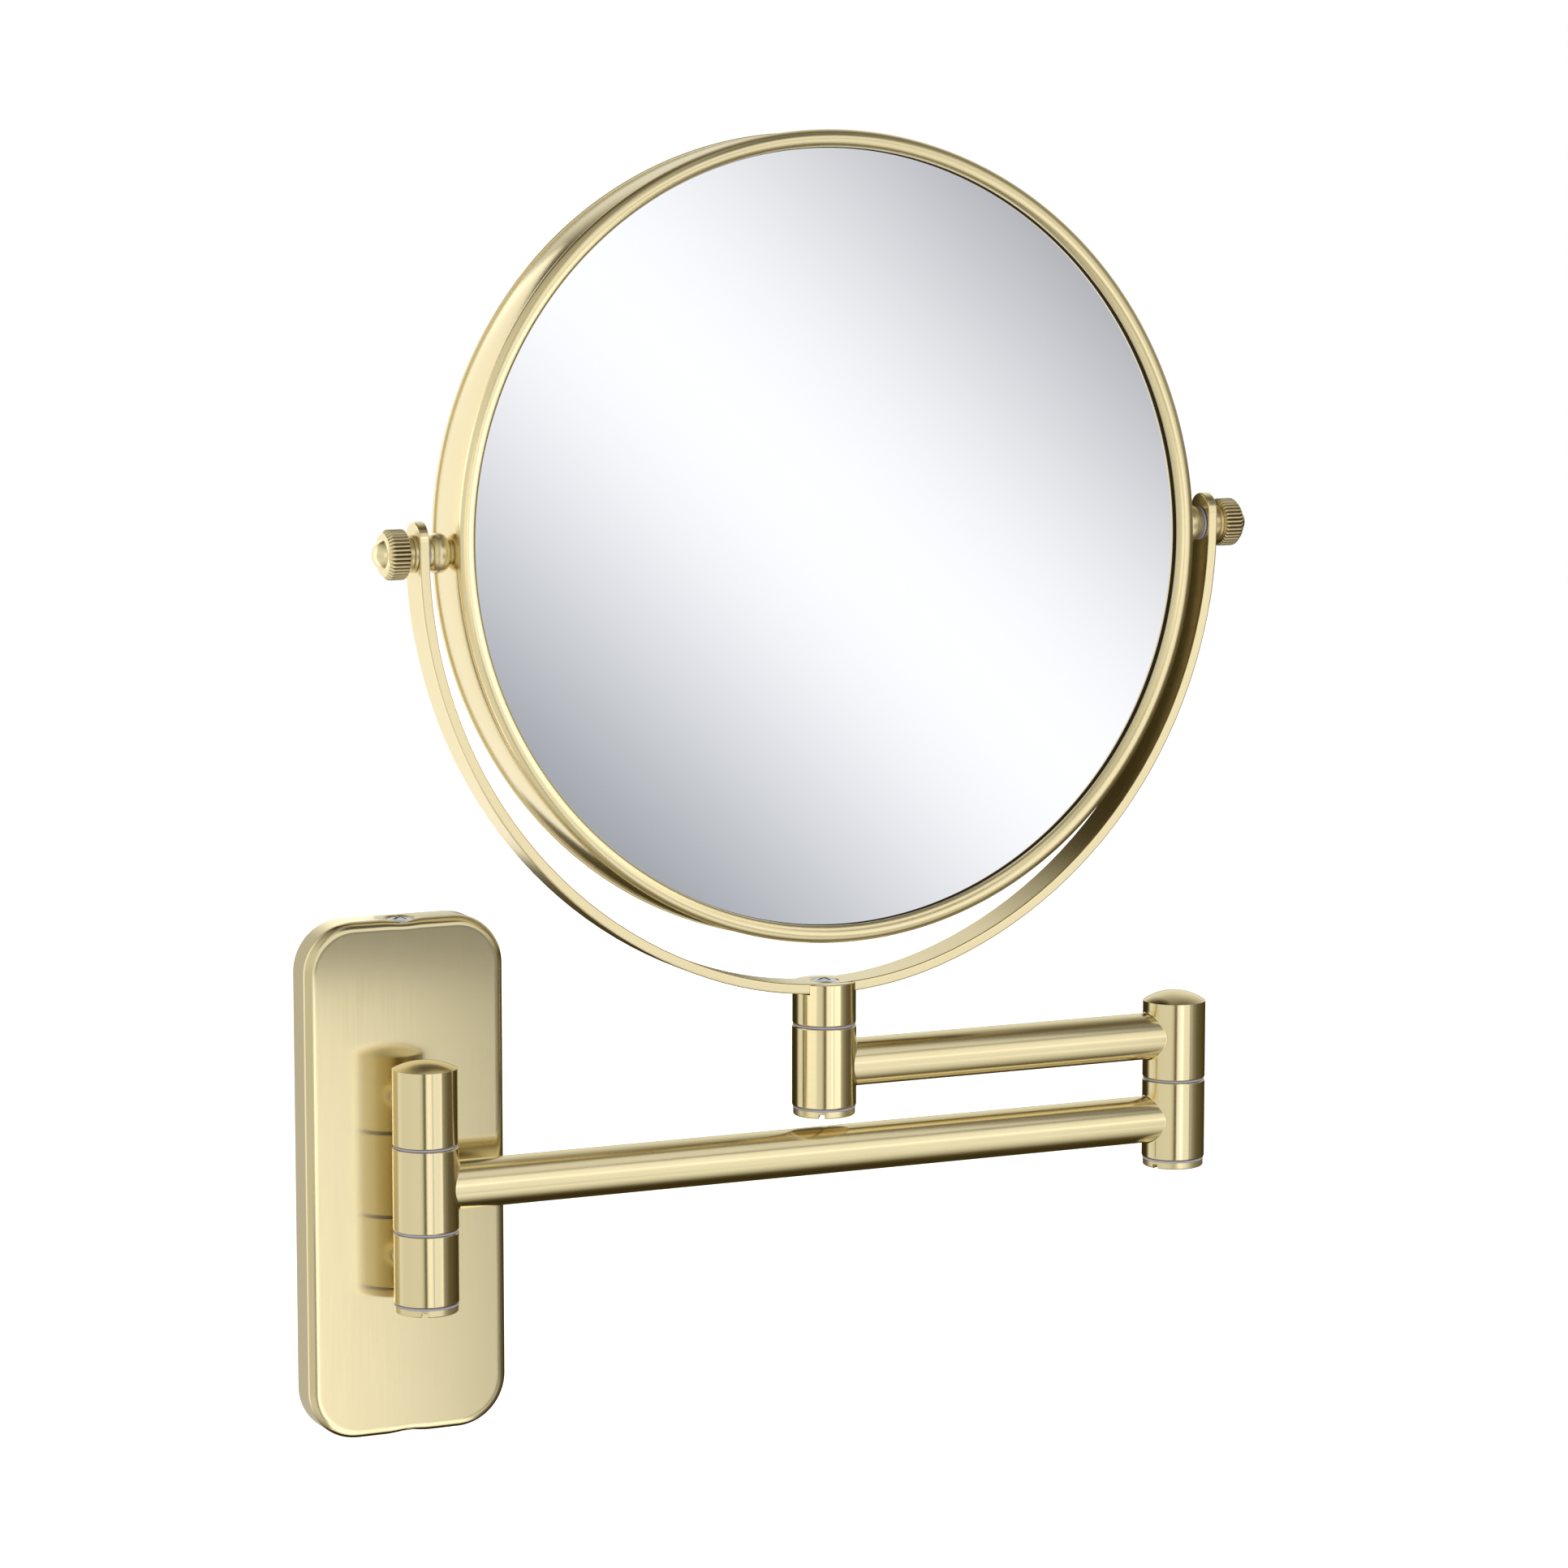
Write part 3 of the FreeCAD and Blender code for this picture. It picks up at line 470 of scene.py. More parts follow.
def copies(name, groups, material):
    """One plain mesh with a copy of each group's shape at its places, each a position and a turn about X, Y, Z."""
    tree = bpy.data.node_groups.get("copies") or copies_tree()
    joined = bmesh.new()
    for shape_mesh, places in groups:
        shape = bpy.data.objects.new(name + "_shape", shape_mesh)
        bpy.context.scene.collection.objects.link(shape)
        points = bmesh.new()
        facing = points.verts.layers.float_vector.new("facing")
        for spot, turn in places:
            points.verts.new(spot)[facing] = turn
        thing = built_object(points, name + "_points")
        modifier = thing.modifiers.new("copies", "NODES")
        modifier.node_group = tree
        set_inputs(modifier, {"Shape": shape, "Material": material})
        mesh = evaluated_mesh(thing)
        joined.from_mesh(mesh)
        bpy.data.meshes.remove(mesh)
        bpy.data.objects.remove(shape)
        bpy.data.meshes.remove(shape_mesh)
    mesh = bpy.data.meshes.new(name)
    joined.to_mesh(mesh)
    joined.free()
    return mesh


def arc(centre, radius, start, end, steps):
    """Points on an arc, angles in degrees."""
    angles = [math.radians(start + (end - start) * i / steps) for i in range(steps + 1)]
    return [(centre[0] + radius * math.cos(a), centre[1] + radius * math.sin(a)) for a in angles]


# Operators

class MIRROR_OT_wall_plate(bpy.types.Operator):
    """Presses the cover plate from sheet: rolled edge, soft dimples round the two edge screws, stub holes"""
    bl_idname = "makeup_mirror.wall_plate"
    bl_label = "Wall plate"

    def rim(self, half_width, half_height, corner):
        """Centres and outward directions of points round the plate's edge, closer together beside the dimples."""
        fine, coarse, turns = 0.5 * MM, 4.0 * MM, 20
        straight_x, straight_z = half_width - corner, half_height - corner
        points = []
        for side in range(4):
            dimpled = side % 2 == 0
            level, along, step = (straight_z, straight_x, fine) if dimpled else (straight_x, straight_z, coarse)
            turn = math.pi / 2 * side
            out = Vector((math.sin(turn), 0.0, math.cos(turn)))
            run = Vector((math.cos(turn), 0.0, -math.sin(turn)))
            count = max(2, round(2 * along / step))
            for i in range(count):
                points.append((out * level + run * (2 * along * i / count - along), out))
            for i in range(turns):
                a = math.pi / 2 * i / turns
                points.append((out * level + run * along, out * math.cos(a) + run * math.sin(a)))
        return points

    def execute(self, context):
        plate, finishes = context.scene.mirror_plate, context.scene.mirror_finishes
        low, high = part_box("wall_plate")
        half_width, half_height, depth = high.x, high.z, -low.y
        cone = plate.seat_radius - plate.hole_radius
        fade_reach = 2.5 * plate.edge
        front_insets = (0.3, 0.8, 1.6, 2.6, 4.0, 5.6, 7.4)

        def pressed(point, inside):
            """The point after pressing: a wide soft dimple, and inside the cone that seats the screw."""
            side = 1.0 if point.z > 0 else -1.0
            x, y = point.x, point.y + plate.setback
            reach = math.hypot(x, y)
            sunk = plate.dimple_depth * max(0.0, 1 - (reach / plate.dimple_radius) ** 2) ** 2
            if inside:
                sunk = max(sunk, min(cone, cone + plate.hole_radius + plate.wall - reach))
            fade = max(0.0, 1 - ((half_height - abs(point.z)) / fade_reach) ** 2)
            return point - Vector((0.0, 0.0, side * sunk * fade))

        builder = bmesh.new()

        def shell(wall, front, edge, roll):
            """Rows of one skin of the plate from the wall forward, round the rolled edge and in on the front."""
            steps = 16
            run = front - edge
            sections = [(wall, -run * i / steps) for i in range(steps)]
            sections += [(wall + roll * (1 - x), -run - edge * y) for x, y in arc((0.0, 0.0), 1.0, 0, 90, steps)]
            sections += [(wall + roll + inset * MM, -front) for inset in front_insets]
            rows = []
            for inset, y in sections:
                row = []
                for centre, out in self.rim(half_width, half_height, plate.corner):
                    point = centre + out * (plate.corner - inset) + Vector((0.0, y, 0.0))
                    row.append(builder.verts.new(pressed(point, wall > 0)))
                rows.append(row)
            return rows

        outer = shell(0.0, depth, plate.edge, plate.roll)
        inner = shell(plate.wall, depth - plate.wall, plate.edge - plate.wall, plate.roll - plate.wall)
        skin(builder, outer)
        builder.faces.new(outer[-1])
        skin(builder, inner[::-1])
        builder.faces.new(inner[-1][::-1])
        skin(builder, [inner[0], outer[0]])
        thing = built_object(builder, "plate_blank")

        # Countersinks for the edge screws and holes for the post's stubs
        cutter = bmesh.new()
        over, sink_around, hole_around = 2.0 * MM, 64, 48
        sink = [(0.0, over), (plate.seat_radius + over, over), (plate.hole_radius, -cone),
                (plate.hole_radius, -cone - 2 * over), (0.0, -cone - 2 * over)]
        for flip in (0.0, math.pi):
            place = Matrix.Rotation(flip, 4, "Y") @ Matrix.Translation((0.0, -plate.setback, half_height))
            turn_on_lathe(cutter, sink, sink_around, place)
        hole = [(0.0, -over), (plate.stub_hole, -over), (plate.stub_hole, over), (0.0, over)]
        for height in (plate.upper_stub, plate.lower_stub):
            place = Matrix.Translation((0.0, -depth, height)) @ Matrix.Rotation(math.pi / 2, 4, "X")
            turn_on_lathe(cutter, hole, hole_around, place)
        mesh = cut_away(thing, cutter)

        gold = brushed_gold("brushed_gold_upright", (finishes.plate_gold, finishes.plate_deep),
                            (BRUSH_FINE, BRUSH_FINE, BRUSH_LONG), BRUSHED, 0.85, "Z")
        finish_piece("pressed_plate", mesh, "wall_mount", "gold", gold, "wall_plate")
        return {"FINISHED"}


class MIRROR_OT_welds(bpy.types.Operator):
    """Runs the small hollow weld round each place where a tube meets a knuckle"""
    bl_idname = "makeup_mirror.welds"
    bl_label = "Arm welds"

    def execute(self, context):
        arms = context.scene.mirror_arms
        blotches = (2.0 * MM, 2.0 * MM, 2.0 * MM)
        gold = brushed_gold("brushed_gold_weld", gold_tones(context), blotches, (0.13, 0.17), 0.0, "Z")
        ball, sunk = arms.weld, 0.2 * MM
        around, across = 96, 8
        for body, start, end in (("lower_arm", "lower_arm_wall_knuckle", "lower_arm_elbow_knuckle"),
                                 ("upper_arm", "upper_arm_mirror_knuckle", "upper_arm_elbow_knuckle")):
            low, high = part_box(body + "_tube")
            middle = (low + high) / 2
            builder = bmesh.new()
            for knuckle, side in ((start, 1.0), (end, -1.0)):
                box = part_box(knuckle)
                axis_x = box[0].x + arms.knuckle if side > 0 else box[1].x - arms.knuckle
                rows = [[] for _ in range(across + 2)]
                for i in range(around):
                    a = 2 * math.pi * i / around
                    out = Vector((0.0, math.cos(a), math.sin(a)))
                    centre = out * (arms.tube + ball)
                    centre.x = math.sqrt((arms.knuckle + ball) ** 2 - centre.y ** 2)
                    to_tube = -out
                    to_knuckle = -Vector((centre.x, centre.y, 0.0)).normalized()
                    swing = to_tube.angle(to_knuckle)
                    turn = to_knuckle.cross(to_tube).normalized()
                    arc_points = [centre + ball * (Matrix.Rotation(swing * k / across, 3, turn) @ to_knuckle)
                                  for k in range(across + 1)]
                    root = arc_points[0] + (arc_points[-1] - arc_points[0]) / 2
                    root += (to_tube + to_knuckle).normalized() * (ball / 2 + sunk)
                    for row, point in zip(rows, arc_points + [root]):
                        row.append(builder.verts.new(Vector((axis_x + side * point.x, middle.y + point.y,
                                                             middle.z + point.z))))
                skin(builder, rows + rows[:1])
            finish_piece(body + "_welds", finished_mesh(builder, body + "_welds"), body, "gold", gold, crease=60.0)
        return {"FINISHED"}


class MIRROR_OT_knobs(bpy.types.Operator):
    """Turns the two thumb screws and knurls their barrels with geometry nodes"""
    bl_idname = "makeup_mirror.knobs"
    bl_label = "Knurled knobs"

    def knurl(self, material):
        """A tree that sinks even grooves into a barrel about the pivot line where the mesh says it is gripped."""
        tree, given = new_tree("knurl", Ridges="Int", Depth="Float", Centre="Vector")
        place = node(tree, "GeometryNodeInputPosition")
        local = node(tree, "ShaderNodeVectorMath", {0: (place, "Position"), 1: (given, "Centre")},
                     operation="SUBTRACT")
        axes = node(tree, "ShaderNodeSeparateXYZ", {"Vector": (local, "Vector")})
        angle = node(tree, "ShaderNodeMath", {0: (axes, "Z"), 1: (axes, "Y")}, operation="ARCTAN2")
        phase = node(tree, "ShaderNodeMath", {0: (angle, "Value"), 1: (given, "Ridges")}, operation="MULTIPLY")
        wave = node(tree, "ShaderNodeMath", {0: (phase, "Value")}, operation="COSINE")
        share = node(tree, "ShaderNodeMapRange", {"Value": (wave, "Value"), "From Min": -1.0, "From Max": 1.0})
        groove = node(tree, "ShaderNodeMath", {0: (share, "Result"), 1: 2.0}, operation="POWER")
        grip = node(tree, "GeometryNodeInputNamedAttribute", {"Name": "grip"}, data_type="FLOAT")
        gripped = node(tree, "ShaderNodeMath", {0: (groove, "Value"), 1: (grip, "Attribute")}, operation="MULTIPLY")
        sunk = node(tree, "ShaderNodeMath", {0: (gripped, "Value"), 1: (given, "Depth")}, operation="MULTIPLY")
        flat = node(tree, "ShaderNodeCombineXYZ", {"Y": (axes, "Y"), "Z": (axes, "Z")})
        out = node(tree, "ShaderNodeVectorMath", {0: (flat, "Vector")}, operation="NORMALIZE")
        inward = node(tree, "ShaderNodeMath", {0: (sunk, "Value"), 1: -1.0}, operation="MULTIPLY")
        shift = node(tree, "ShaderNodeVectorMath", {0: (out, "Vector"), "Scale": (inward, "Value")},
                     operation="SCALE")
        moved = node(tree, "GeometryNodeSetPosition", {"Geometry": (given, "Geometry"), "Offset": (shift, "Vector")})
        marked = node(tree, "GeometryNodeStoreNamedAttribute", {"Geometry": (moved, "Geometry"), "Name": "groove",
                                                                "Value": (gripped, "Value")}, data_type="FLOAT")
        real = node(tree, "GeometryNodeRealizeInstances", {"Geometry": (marked, "Geometry")})
        painted = node(tree, "GeometryNodeSetMaterial", {"Geometry": (real, "Geometry"), "Material": material})
        node(tree, "NodeGroupOutput", {"Geometry": (painted, "Geometry")})
        return tree

    def execute(self, context):
        knobs = context.scene.mirror_knobs
        gold = knurled_gold("knurled_gold", context.scene.mirror_finishes)
        tree = self.knurl(gold)
        bevel, seat, soft_in, soft_up = 0.4 * MM, 1.4 * MM, 0.1 * MM, 0.25 * MM
        dome_foot, dome_start = ((0.25 * MM, 0.0), (0.05 * MM, 0.08 * MM)), 2
        barrel_steps, chamfer_steps, dome_steps, per_ridge = 10, 4, 12, 12
        outer, shank, face = knobs.radius, knobs.shank_radius, knobs.radius - knobs.chamfer
        curve = (knobs.dome_radius ** 2 + knobs.dome_height ** 2) / (2 * knobs.dome_height)
        spread = math.degrees(math.asin(knobs.dome_radius / curve))
        head = knobs.barrel + knobs.chamfer + knobs.dome_height
        for name, body, side in (("left_knob", "left_clamp", -1.0), ("right_knob", "right_clamp", 1.0)):
            low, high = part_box(name)
            tip = (high.x if side > 0 else -low.x) - side * HEAD_CENTRE.x
            near = tip - head
            end, shank_end = near + knobs.barrel + knobs.chamfer, near - knobs.shank_length
            outline = [(0.0, shank_end), (shank - bevel, shank_end), (shank, shank_end + bevel), (shank, near),
                       (outer - seat, near), (outer - bevel, near), (outer - soft_in, near + soft_up),
                       (outer, near + bevel)]
            outline += [(outer, near + bevel + (knobs.barrel - bevel) * i / barrel_steps)
                        for i in range(1, barrel_steps + 1)]
            outline += [(outer + (face - outer) * i / chamfer_steps,
                         near + knobs.barrel + knobs.chamfer * i / chamfer_steps)
                        for i in range(1, chamfer_steps + 1)]
            outline += [(knobs.dome_radius + out, end + up) for out, up in dome_foot]
            outline += arc((0.0, end + knobs.dome_height - curve), curve, 90 - spread + dome_start, 90, dome_steps)
            outline[-1] = (0.0, outline[-1][1])
            builder = bmesh.new()
            grip = builder.verts.layers.float.new("grip")
            rows = turn_on_lathe(builder, outline, knobs.ridges * per_ridge, pivot_place(side))
            for row, (radius, height) in zip(rows, outline):
                on_barrel = near + bevel <= height <= near + knobs.barrel
                share = 1.0 if on_barrel else max(0.0, (radius - face) / knobs.chamfer)
                for vertex in row:
                    vertex[grip] = share
            thing = built_object(builder, name + "_blank")
            knurled = thing.modifiers.new("knurl", "NODES")
            knurled.node_group = tree
            set_inputs(knurled, {"Ridges": knobs.ridges, "Depth": knobs.depth, "Centre": HEAD_CENTRE[:]})
            mesh = evaluated_mesh(thing)
            finish_piece(name.replace("knob", "thumb_screw"), mesh, body, "polished_gold", gold, name, crease=40.0)
        return {"FINISHED"}


class MIRROR_OT_posts(bpy.types.Operator):
    """Finishes the knuckles of the three posts, the yoke's stem and the slotted end screws"""
    bl_idname = "makeup_mirror.posts"
    bl_label = "Posts"

    def execute(self, context):
        around = brushed_gold("brushed_gold_around", gold_tones(context), (BRUSH_LONG, BRUSH_LONG, BRUSH_FINE),
                              BRUSHED, 0.7, "Z", 0.25)
        finish_nodes(around, "upper_wall_knuckle", "lower_wall_knuckle", "lower_arm_wall_knuckle",
                     "lower_arm_elbow_knuckle", "upper_arm_elbow_knuckle", "upper_arm_mirror_knuckle", "yoke_stem")
        finish_nodes(polished_gold(context), "wall_post_end_screw", "elbow_end_screw", "mirror_post_end_screw")
        return {"FINISHED"}


class MIRROR_OT_arms(bpy.types.Operator):
    """Finishes the two arm tubes"""
    bl_idname = "makeup_mirror.arms"
    bl_label = "Arm tubes"

    def execute(self, context):
        lengthwise = brushed_gold("brushed_gold_lengthwise", gold_tones(context),
                                  (BRUSH_LONG, BRUSH_FINE, BRUSH_FINE), (0.17, 0.21), 0.3, "X")
        finish_nodes(lengthwise, "lower_arm_tube", "upper_arm_tube")
        return {"FINISHED"}


class MIRROR_OT_yoke(bpy.types.Operator):
    """Finishes the bent yoke"""
    bl_idname = "makeup_mirror.yoke"
    bl_label = "Yoke"

    def execute(self, context):
        finish_nodes(ringwise_gold(context), "yoke")
        return {"FINISHED"}


class MIRROR_OT_rims(bpy.types.Operator):
    """Turns the band, the two half-round rims and the dark strips round the glasses, whose colour is painted shade
    under the lips
    """
    bl_idname = "makeup_mirror.rims"
    bl_label = "Band and rims"

    def execute(self, context):
        finishes, head = context.scene.mirror_finishes, context.scene.mirror_head
        around, drill_around, bead_steps, round_steps, crease = 384, 48, 28, 3, 50.0
        seam, skirt, skirt_wall, gap, round_off = 0.6 * MM, 2.6 * MM, 1.2 * MM, 0.05 * MM, 0.2 * MM
        tuck, strip_foot, strip_top, strip_back, strip_slope = 0.02 * MM, 0.15 * MM, 0.1 * MM, 0.05 * MM, 0.1 * MM
        bore = head.band - head.band_wall
        satin = brushed_gold("satin_gold_ring", gold_tones(context), RING_LINES, (0.26, 0.3), 0.2, "Y", 0.25, True)
        strip_shade = shade_strip_finish("strip_shade_finish", finishes.strip_shade[:])
        strips = bmesh.new()
        for name, lip, side in (("front", head.front, 1.0), ("back", head.back, -1.0)):
            inner, centre = head.rim - 2 * head.bead, lip + head.lip
            foot = lip + head.lip - seam + gap
            outline = [(inner, lip)] + arc((head.rim - head.bead, centre), head.bead, 180, 0, bead_steps)
            outline += arc((head.rim - round_off, foot + round_off), round_off, 0, -90, round_steps)
            outline += [(bore - gap, foot), (bore - gap, foot - skirt), (bore - gap - skirt_wall, foot - skirt),
                        (bore - gap - skirt_wall, lip)]
            builder = bmesh.new()
            turn_on_lathe(builder, [(r, side * h) for r, h in outline], around, HEAD_PLACE, ring=True)
            finish_piece("rolled_" + name + "_rim", finished_mesh(builder, name), "mirror_head", "gold", satin,
                         name + "_bezel", crease=crease)
            # A dark strip under each lip, round the glass: painted shade in that gap
            crest, shoulder = lip + head.strip, lip + head.strip - strip_slope
            strip = [(inner + tuck, lip), (inner - strip_foot, lip), (inner - strip_top, shoulder), (inner, crest),
                     (inner + strip_back, shoulder)]
            turn_on_lathe(strips, [(r, side * h) for r, h in strip], around, HEAD_PLACE, ring=True)
        finish_piece("glass_bedding_strips", finished_mesh(strips, "strips"), "mirror_head", "dark_plastic", strip_shade)

        front, back = head.front + head.lip - seam, -head.back - head.lip + seam
        outline = [(bore, back), (head.band - round_off, back)]
        outline += arc((head.band - round_off, back + round_off), round_off, -90, 0, round_steps)[1:]
        outline += arc((head.band - round_off, front - round_off), round_off, 0, 90, round_steps) + [(bore, front)]
        builder = bmesh.new()
        turn_on_lathe(builder, outline, around, HEAD_PLACE, ring=True)
        blank = built_object(builder, "band_blank")
        drill = bmesh.new()
        radius = head.boss_shank + gap
        for side in (-1.0, 1.0):
            turn_on_lathe(drill, [(0.0, bore - skirt), (radius, bore - skirt), (radius, head.band + skirt),
                                  (0.0, head.band + skirt)], drill_around, pivot_place(side))
        finish_piece("turned_band", cut_away(blank, drill), "mirror_head", "gold", ringwise_gold(context), "frame_band",
                     crease=crease)
        return {"FINISHED"}


class MIRROR_OT_bosses(bpy.types.Operator):
    """Turns the two pivot bosses: a round bead on the band, a neck, and a bore for the thumb screw"""
    bl_idname = "makeup_mirror.bosses"
    bl_label = "Pivot bosses"

    def execute(self, context):
        head = context.scene.mirror_head
        half, waist, bore, neck_gap, ease = 2.4 * MM, 3.2 * MM, 2.05 * MM, 0.15 * MM, 0.25 * MM
        around, bead_end, bead_steps, ease_start, ease_steps = 96, 68, 24, 20, 4
        foot, middle = head.band - 0.05 * MM, head.band + 2.9 * MM
        inside, mouth, end = head.band - 2.8 * MM, head.band + 1.2 * MM, head.band + 5.9 * MM
        bead = [(waist + (head.boss_bead - waist) * x, middle + half * y)
                for x, y in arc((0.0, 0.0), 1.0, -90, bead_end, bead_steps)]
        outline = [(0.0, inside), (head.boss_shank, inside), (head.boss_shank, foot), (waist, foot)] + bead
        outline += [(head.boss_neck, bead[-1][1] + neck_gap), (head.boss_neck, end - ease)]
        outline += arc((head.boss_neck - ease, end - ease), ease, ease_start, 90, ease_steps)
        outline += [(bore, end), (bore, mouth), (0.0, mouth)]
        for name, side in (("left", -1.0), ("right", 1.0)):
            builder = bmesh.new()
            turn_on_lathe(builder, outline, around, pivot_place(side))
            finish_piece(name + "_turned_boss", finished_mesh(builder, name), "mirror_head", "polished_gold",
                         polished_gold(context), name + "_pivot_boss", crease=50.0)
        return {"FINISHED"}


class MIRROR_OT_screws(bpy.types.Operator):
    """Sets the crowned cross-head screws in the plate's edges and in the yoke"""
    bl_idname = "makeup_mirror.screws"
    bl_label = "Cross-head screws"

    def screw(self, fixings):
        """A screw about Z with the rim of its head at height zero: crowned head, cone, shank and cross recess."""
        head, shank, rise = fixings.head, fixings.shank, fixings.rise
        around, crown_steps, edge = 64, 12, 0.05 * MM
        # Height of the recess's mouth, shoulder and floor, and its reach and half width there as shares of the head
        recess_levels = ((rise + MM, 0.62, 0.15), (-0.3 * MM, 0.56, 0.12), (-1.3 * MM, 0.2, 0.08))
        curve = (head ** 2 + rise ** 2) / (2 * rise)
        spread = math.degrees(math.asin(head / curve))
        outline = [(0.0, -fixings.length), (shank, -fixings.length), (shank, shank - head), (head, -edge)]
        outline += arc((0.0, rise - curve), curve, 90 - spread, 90, crown_steps)
        outline[-1] = (0.0, rise)
        builder = bmesh.new()
        turn_on_lathe(builder, outline, around, Matrix.Identity(4))
        blank = built_object(builder, "screw_blank")
        recess = bmesh.new()
        for turn in (0.0, math.pi / 2):
            rows = []
            for height, reach, half in recess_levels:
                corners = ((-reach, -half), (reach, -half), (reach, half), (-reach, half))
                rows.append([recess.verts.new(Matrix.Rotation(turn, 4, "Z") @ Vector((x * head, y * head, height)))
                             for x, y in corners])
            skin(recess, rows)
            recess.faces.new(rows[0])
            recess.faces.new(rows[-1][::-1])
        return cut_away(blank, recess)

    def execute(self, context):
        fixings, plate = context.scene.mirror_fixings, context.scene.mirror_plate
        # Chrome plating: cold, clear reflections that set the screws off from the gold
        chrome = plain_metal("chrome", context.scene.mirror_finishes.chrome[:], 0.06, 0.1, 10.0 * MM)
        upper_twist, lower_twist, yoke_twist = 0.6, 0.3, math.radians(20)
        plate_sunk, yoke_sunk = 0.25 * MM, 0.15 * MM
        plate_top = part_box("plate_screws")[1].z - plate_sunk
        yoke_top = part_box("yoke_screw")[1].z - yoke_sunk
        on_plate = [((0.0, -plate.setback, plate_top), (0.0, 0.0, upper_twist)),
                    ((0.0, -plate.setback, -plate_top), (math.pi, 0.0, lower_twist))]
        on_yoke = [((HEAD_CENTRE.x, HEAD_CENTRE.y, yoke_top), (0.0, 0.0, yoke_twist))]
        for name, body, places, replaced in (("plate_cross_screws", "wall_mount", on_plate, "plate_screws"),
                                             ("yoke_cross_screw", "yoke_set", on_yoke, "yoke_screw")):
            mesh = copies(name, [(self.screw(fixings), places)], chrome)
            finish_piece(name, mesh, body, "chrome", chrome, replaced)
        return {"FINISHED"}


class MIRROR_OT_washers(bpy.types.Operator):
    """Lays the grey washers in the posts and ears, and the gold spacer rings under the knobs"""
    bl_idname = "makeup_mirror.washers"
    bl_label = "Washers"

    def washer(self, outer, inner, height):
        """A washer about Z, standing on height zero, with softened edges."""
        around, soft_steps = 96, 4
        soft = min(0.18 * MM, height / 3)
        outline = [(inner, 0.0)] + arc((outer - soft, soft), soft, -90, 0, soft_steps)
        outline += arc((outer - soft, height - soft), soft, 0, 90, soft_steps) + [(inner, height)]
        builder = bmesh.new()
        turn_on_lathe(builder, outline, around, Matrix.Identity(4), ring=True)
        return finished_mesh(builder, "washer")

    def execute(self, context):
        finishes, fixings = context.scene.mirror_finishes, context.scene.mirror_fixings
        # Grey nylon, moulded: thin dull lines between the bright gold pieces
        nylon = moulded_plastic("grey_nylon", finishes.nylon[:])
        polished = polished_gold(context)
        pin, shank, wide_ring, narrow_ring, ring_gap = 4.05 * MM, 2.05 * MM, 4.7 * MM, 4.2 * MM, 0.03 * MM
        under_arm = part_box("lower_arm_wall_knuckle")[0].z - fixings.washer_height
        for name, body, x, between in (("wall_post", "wall_mount", 0.0, [under_arm]),
                                       ("elbow", "upper_arm", ELBOW_X, []),
                                       ("mirror_post", "yoke_set", HEAD_CENTRE.x, [])):
            low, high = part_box(name + "_washers")
            levels = [low.z, high.z - fixings.washer_height] + between
            places = [((x, HEAD_CENTRE.y, level), (0.0, 0.0, 0.0)) for level in levels]
            washer = self.washer(fixings.washer, pin, fixings.washer_height)
            mesh = copies(name + "_nylon_washers", [(washer, places)], nylon)
            finish_piece(name + "_nylon_washers", mesh, body, "grey_plastic", nylon, name + "_washers")

        def on_pivot(distance):
            """The places on the tilt pivot at a distance to the left and right of the head's middle."""
            return [(HEAD_CENTRE + Vector((side * distance, 0.0, 0.0)), (0.0, side * math.pi / 2, 0.0))
                    for side in (-1.0, 1.0)]

        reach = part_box("pivot_washers")[1].x - HEAD_CENTRE.x
        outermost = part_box("knob_washers")[1].x - HEAD_CENTRE.x - fixings.ring_height
        thin = self.washer(fixings.pivot_washer, shank, fixings.pivot_height)
        mesh = copies("pivot_nylon_washers", [(thin, on_pivot(reach - fixings.pivot_height))], nylon)
        finish_piece("pivot_nylon_washers", mesh, "yoke_set", "grey_plastic", nylon, "pivot_washers")
        step = fixings.ring_height + ring_gap
        wide = self.washer(wide_ring, shank, fixings.ring_height)
        narrow = self.washer(narrow_ring, shank, fixings.ring_height)
        mesh = copies("knob_spacer_rings", [(wide, on_pivot(outermost) + on_pivot(outermost - 2 * step)),
                                            (narrow, on_pivot(outermost - step))], polished)
        finish_piece("knob_spacer_rings", mesh, "yoke_set", "polished_gold", polished, "knob_washers")
        return {"FINISHED"}


class MIRROR_OT_glasses(bpy.types.Operator):
    """Silvers the plain glass and turns the dished one in fine even rings, so that its middle mirrors cleanly"""
    bl_idname = "makeup_mirror.glasses"
    bl_label = "Glasses"

    def execute(self, context):
        finishes, head = context.scene.mirror_finishes, context.scene.mirror_head
        silvered = silvered_glass("silvered_glass", finishes.silver[:])
        finish_nodes(silvered, "plain_mirror")
        rings, around, seat = 48, 192, 0.05 * MM
        curve = (head.glass ** 2 + head.dish ** 2) / (2 * head.dish)
        centre = seat - head.back + head.dish - curve
        radii = [head.glass * i / rings for i in range(rings + 1)]
        face = [(r, centre + math.sqrt(curve ** 2 - r ** 2)) for r in radii]
        outline = face + [(r, height + head.dished_glass) for r, height in reversed(face)]
        builder = bmesh.new()
        turn_on_lathe(builder, outline, around, HEAD_PLACE)
        finish_piece("dished_glass", finished_mesh(builder, "dished"), "mirror_head", "mirror_glass", silvered,
                     "magnifying_mirror")
        return {"FINISHED"}


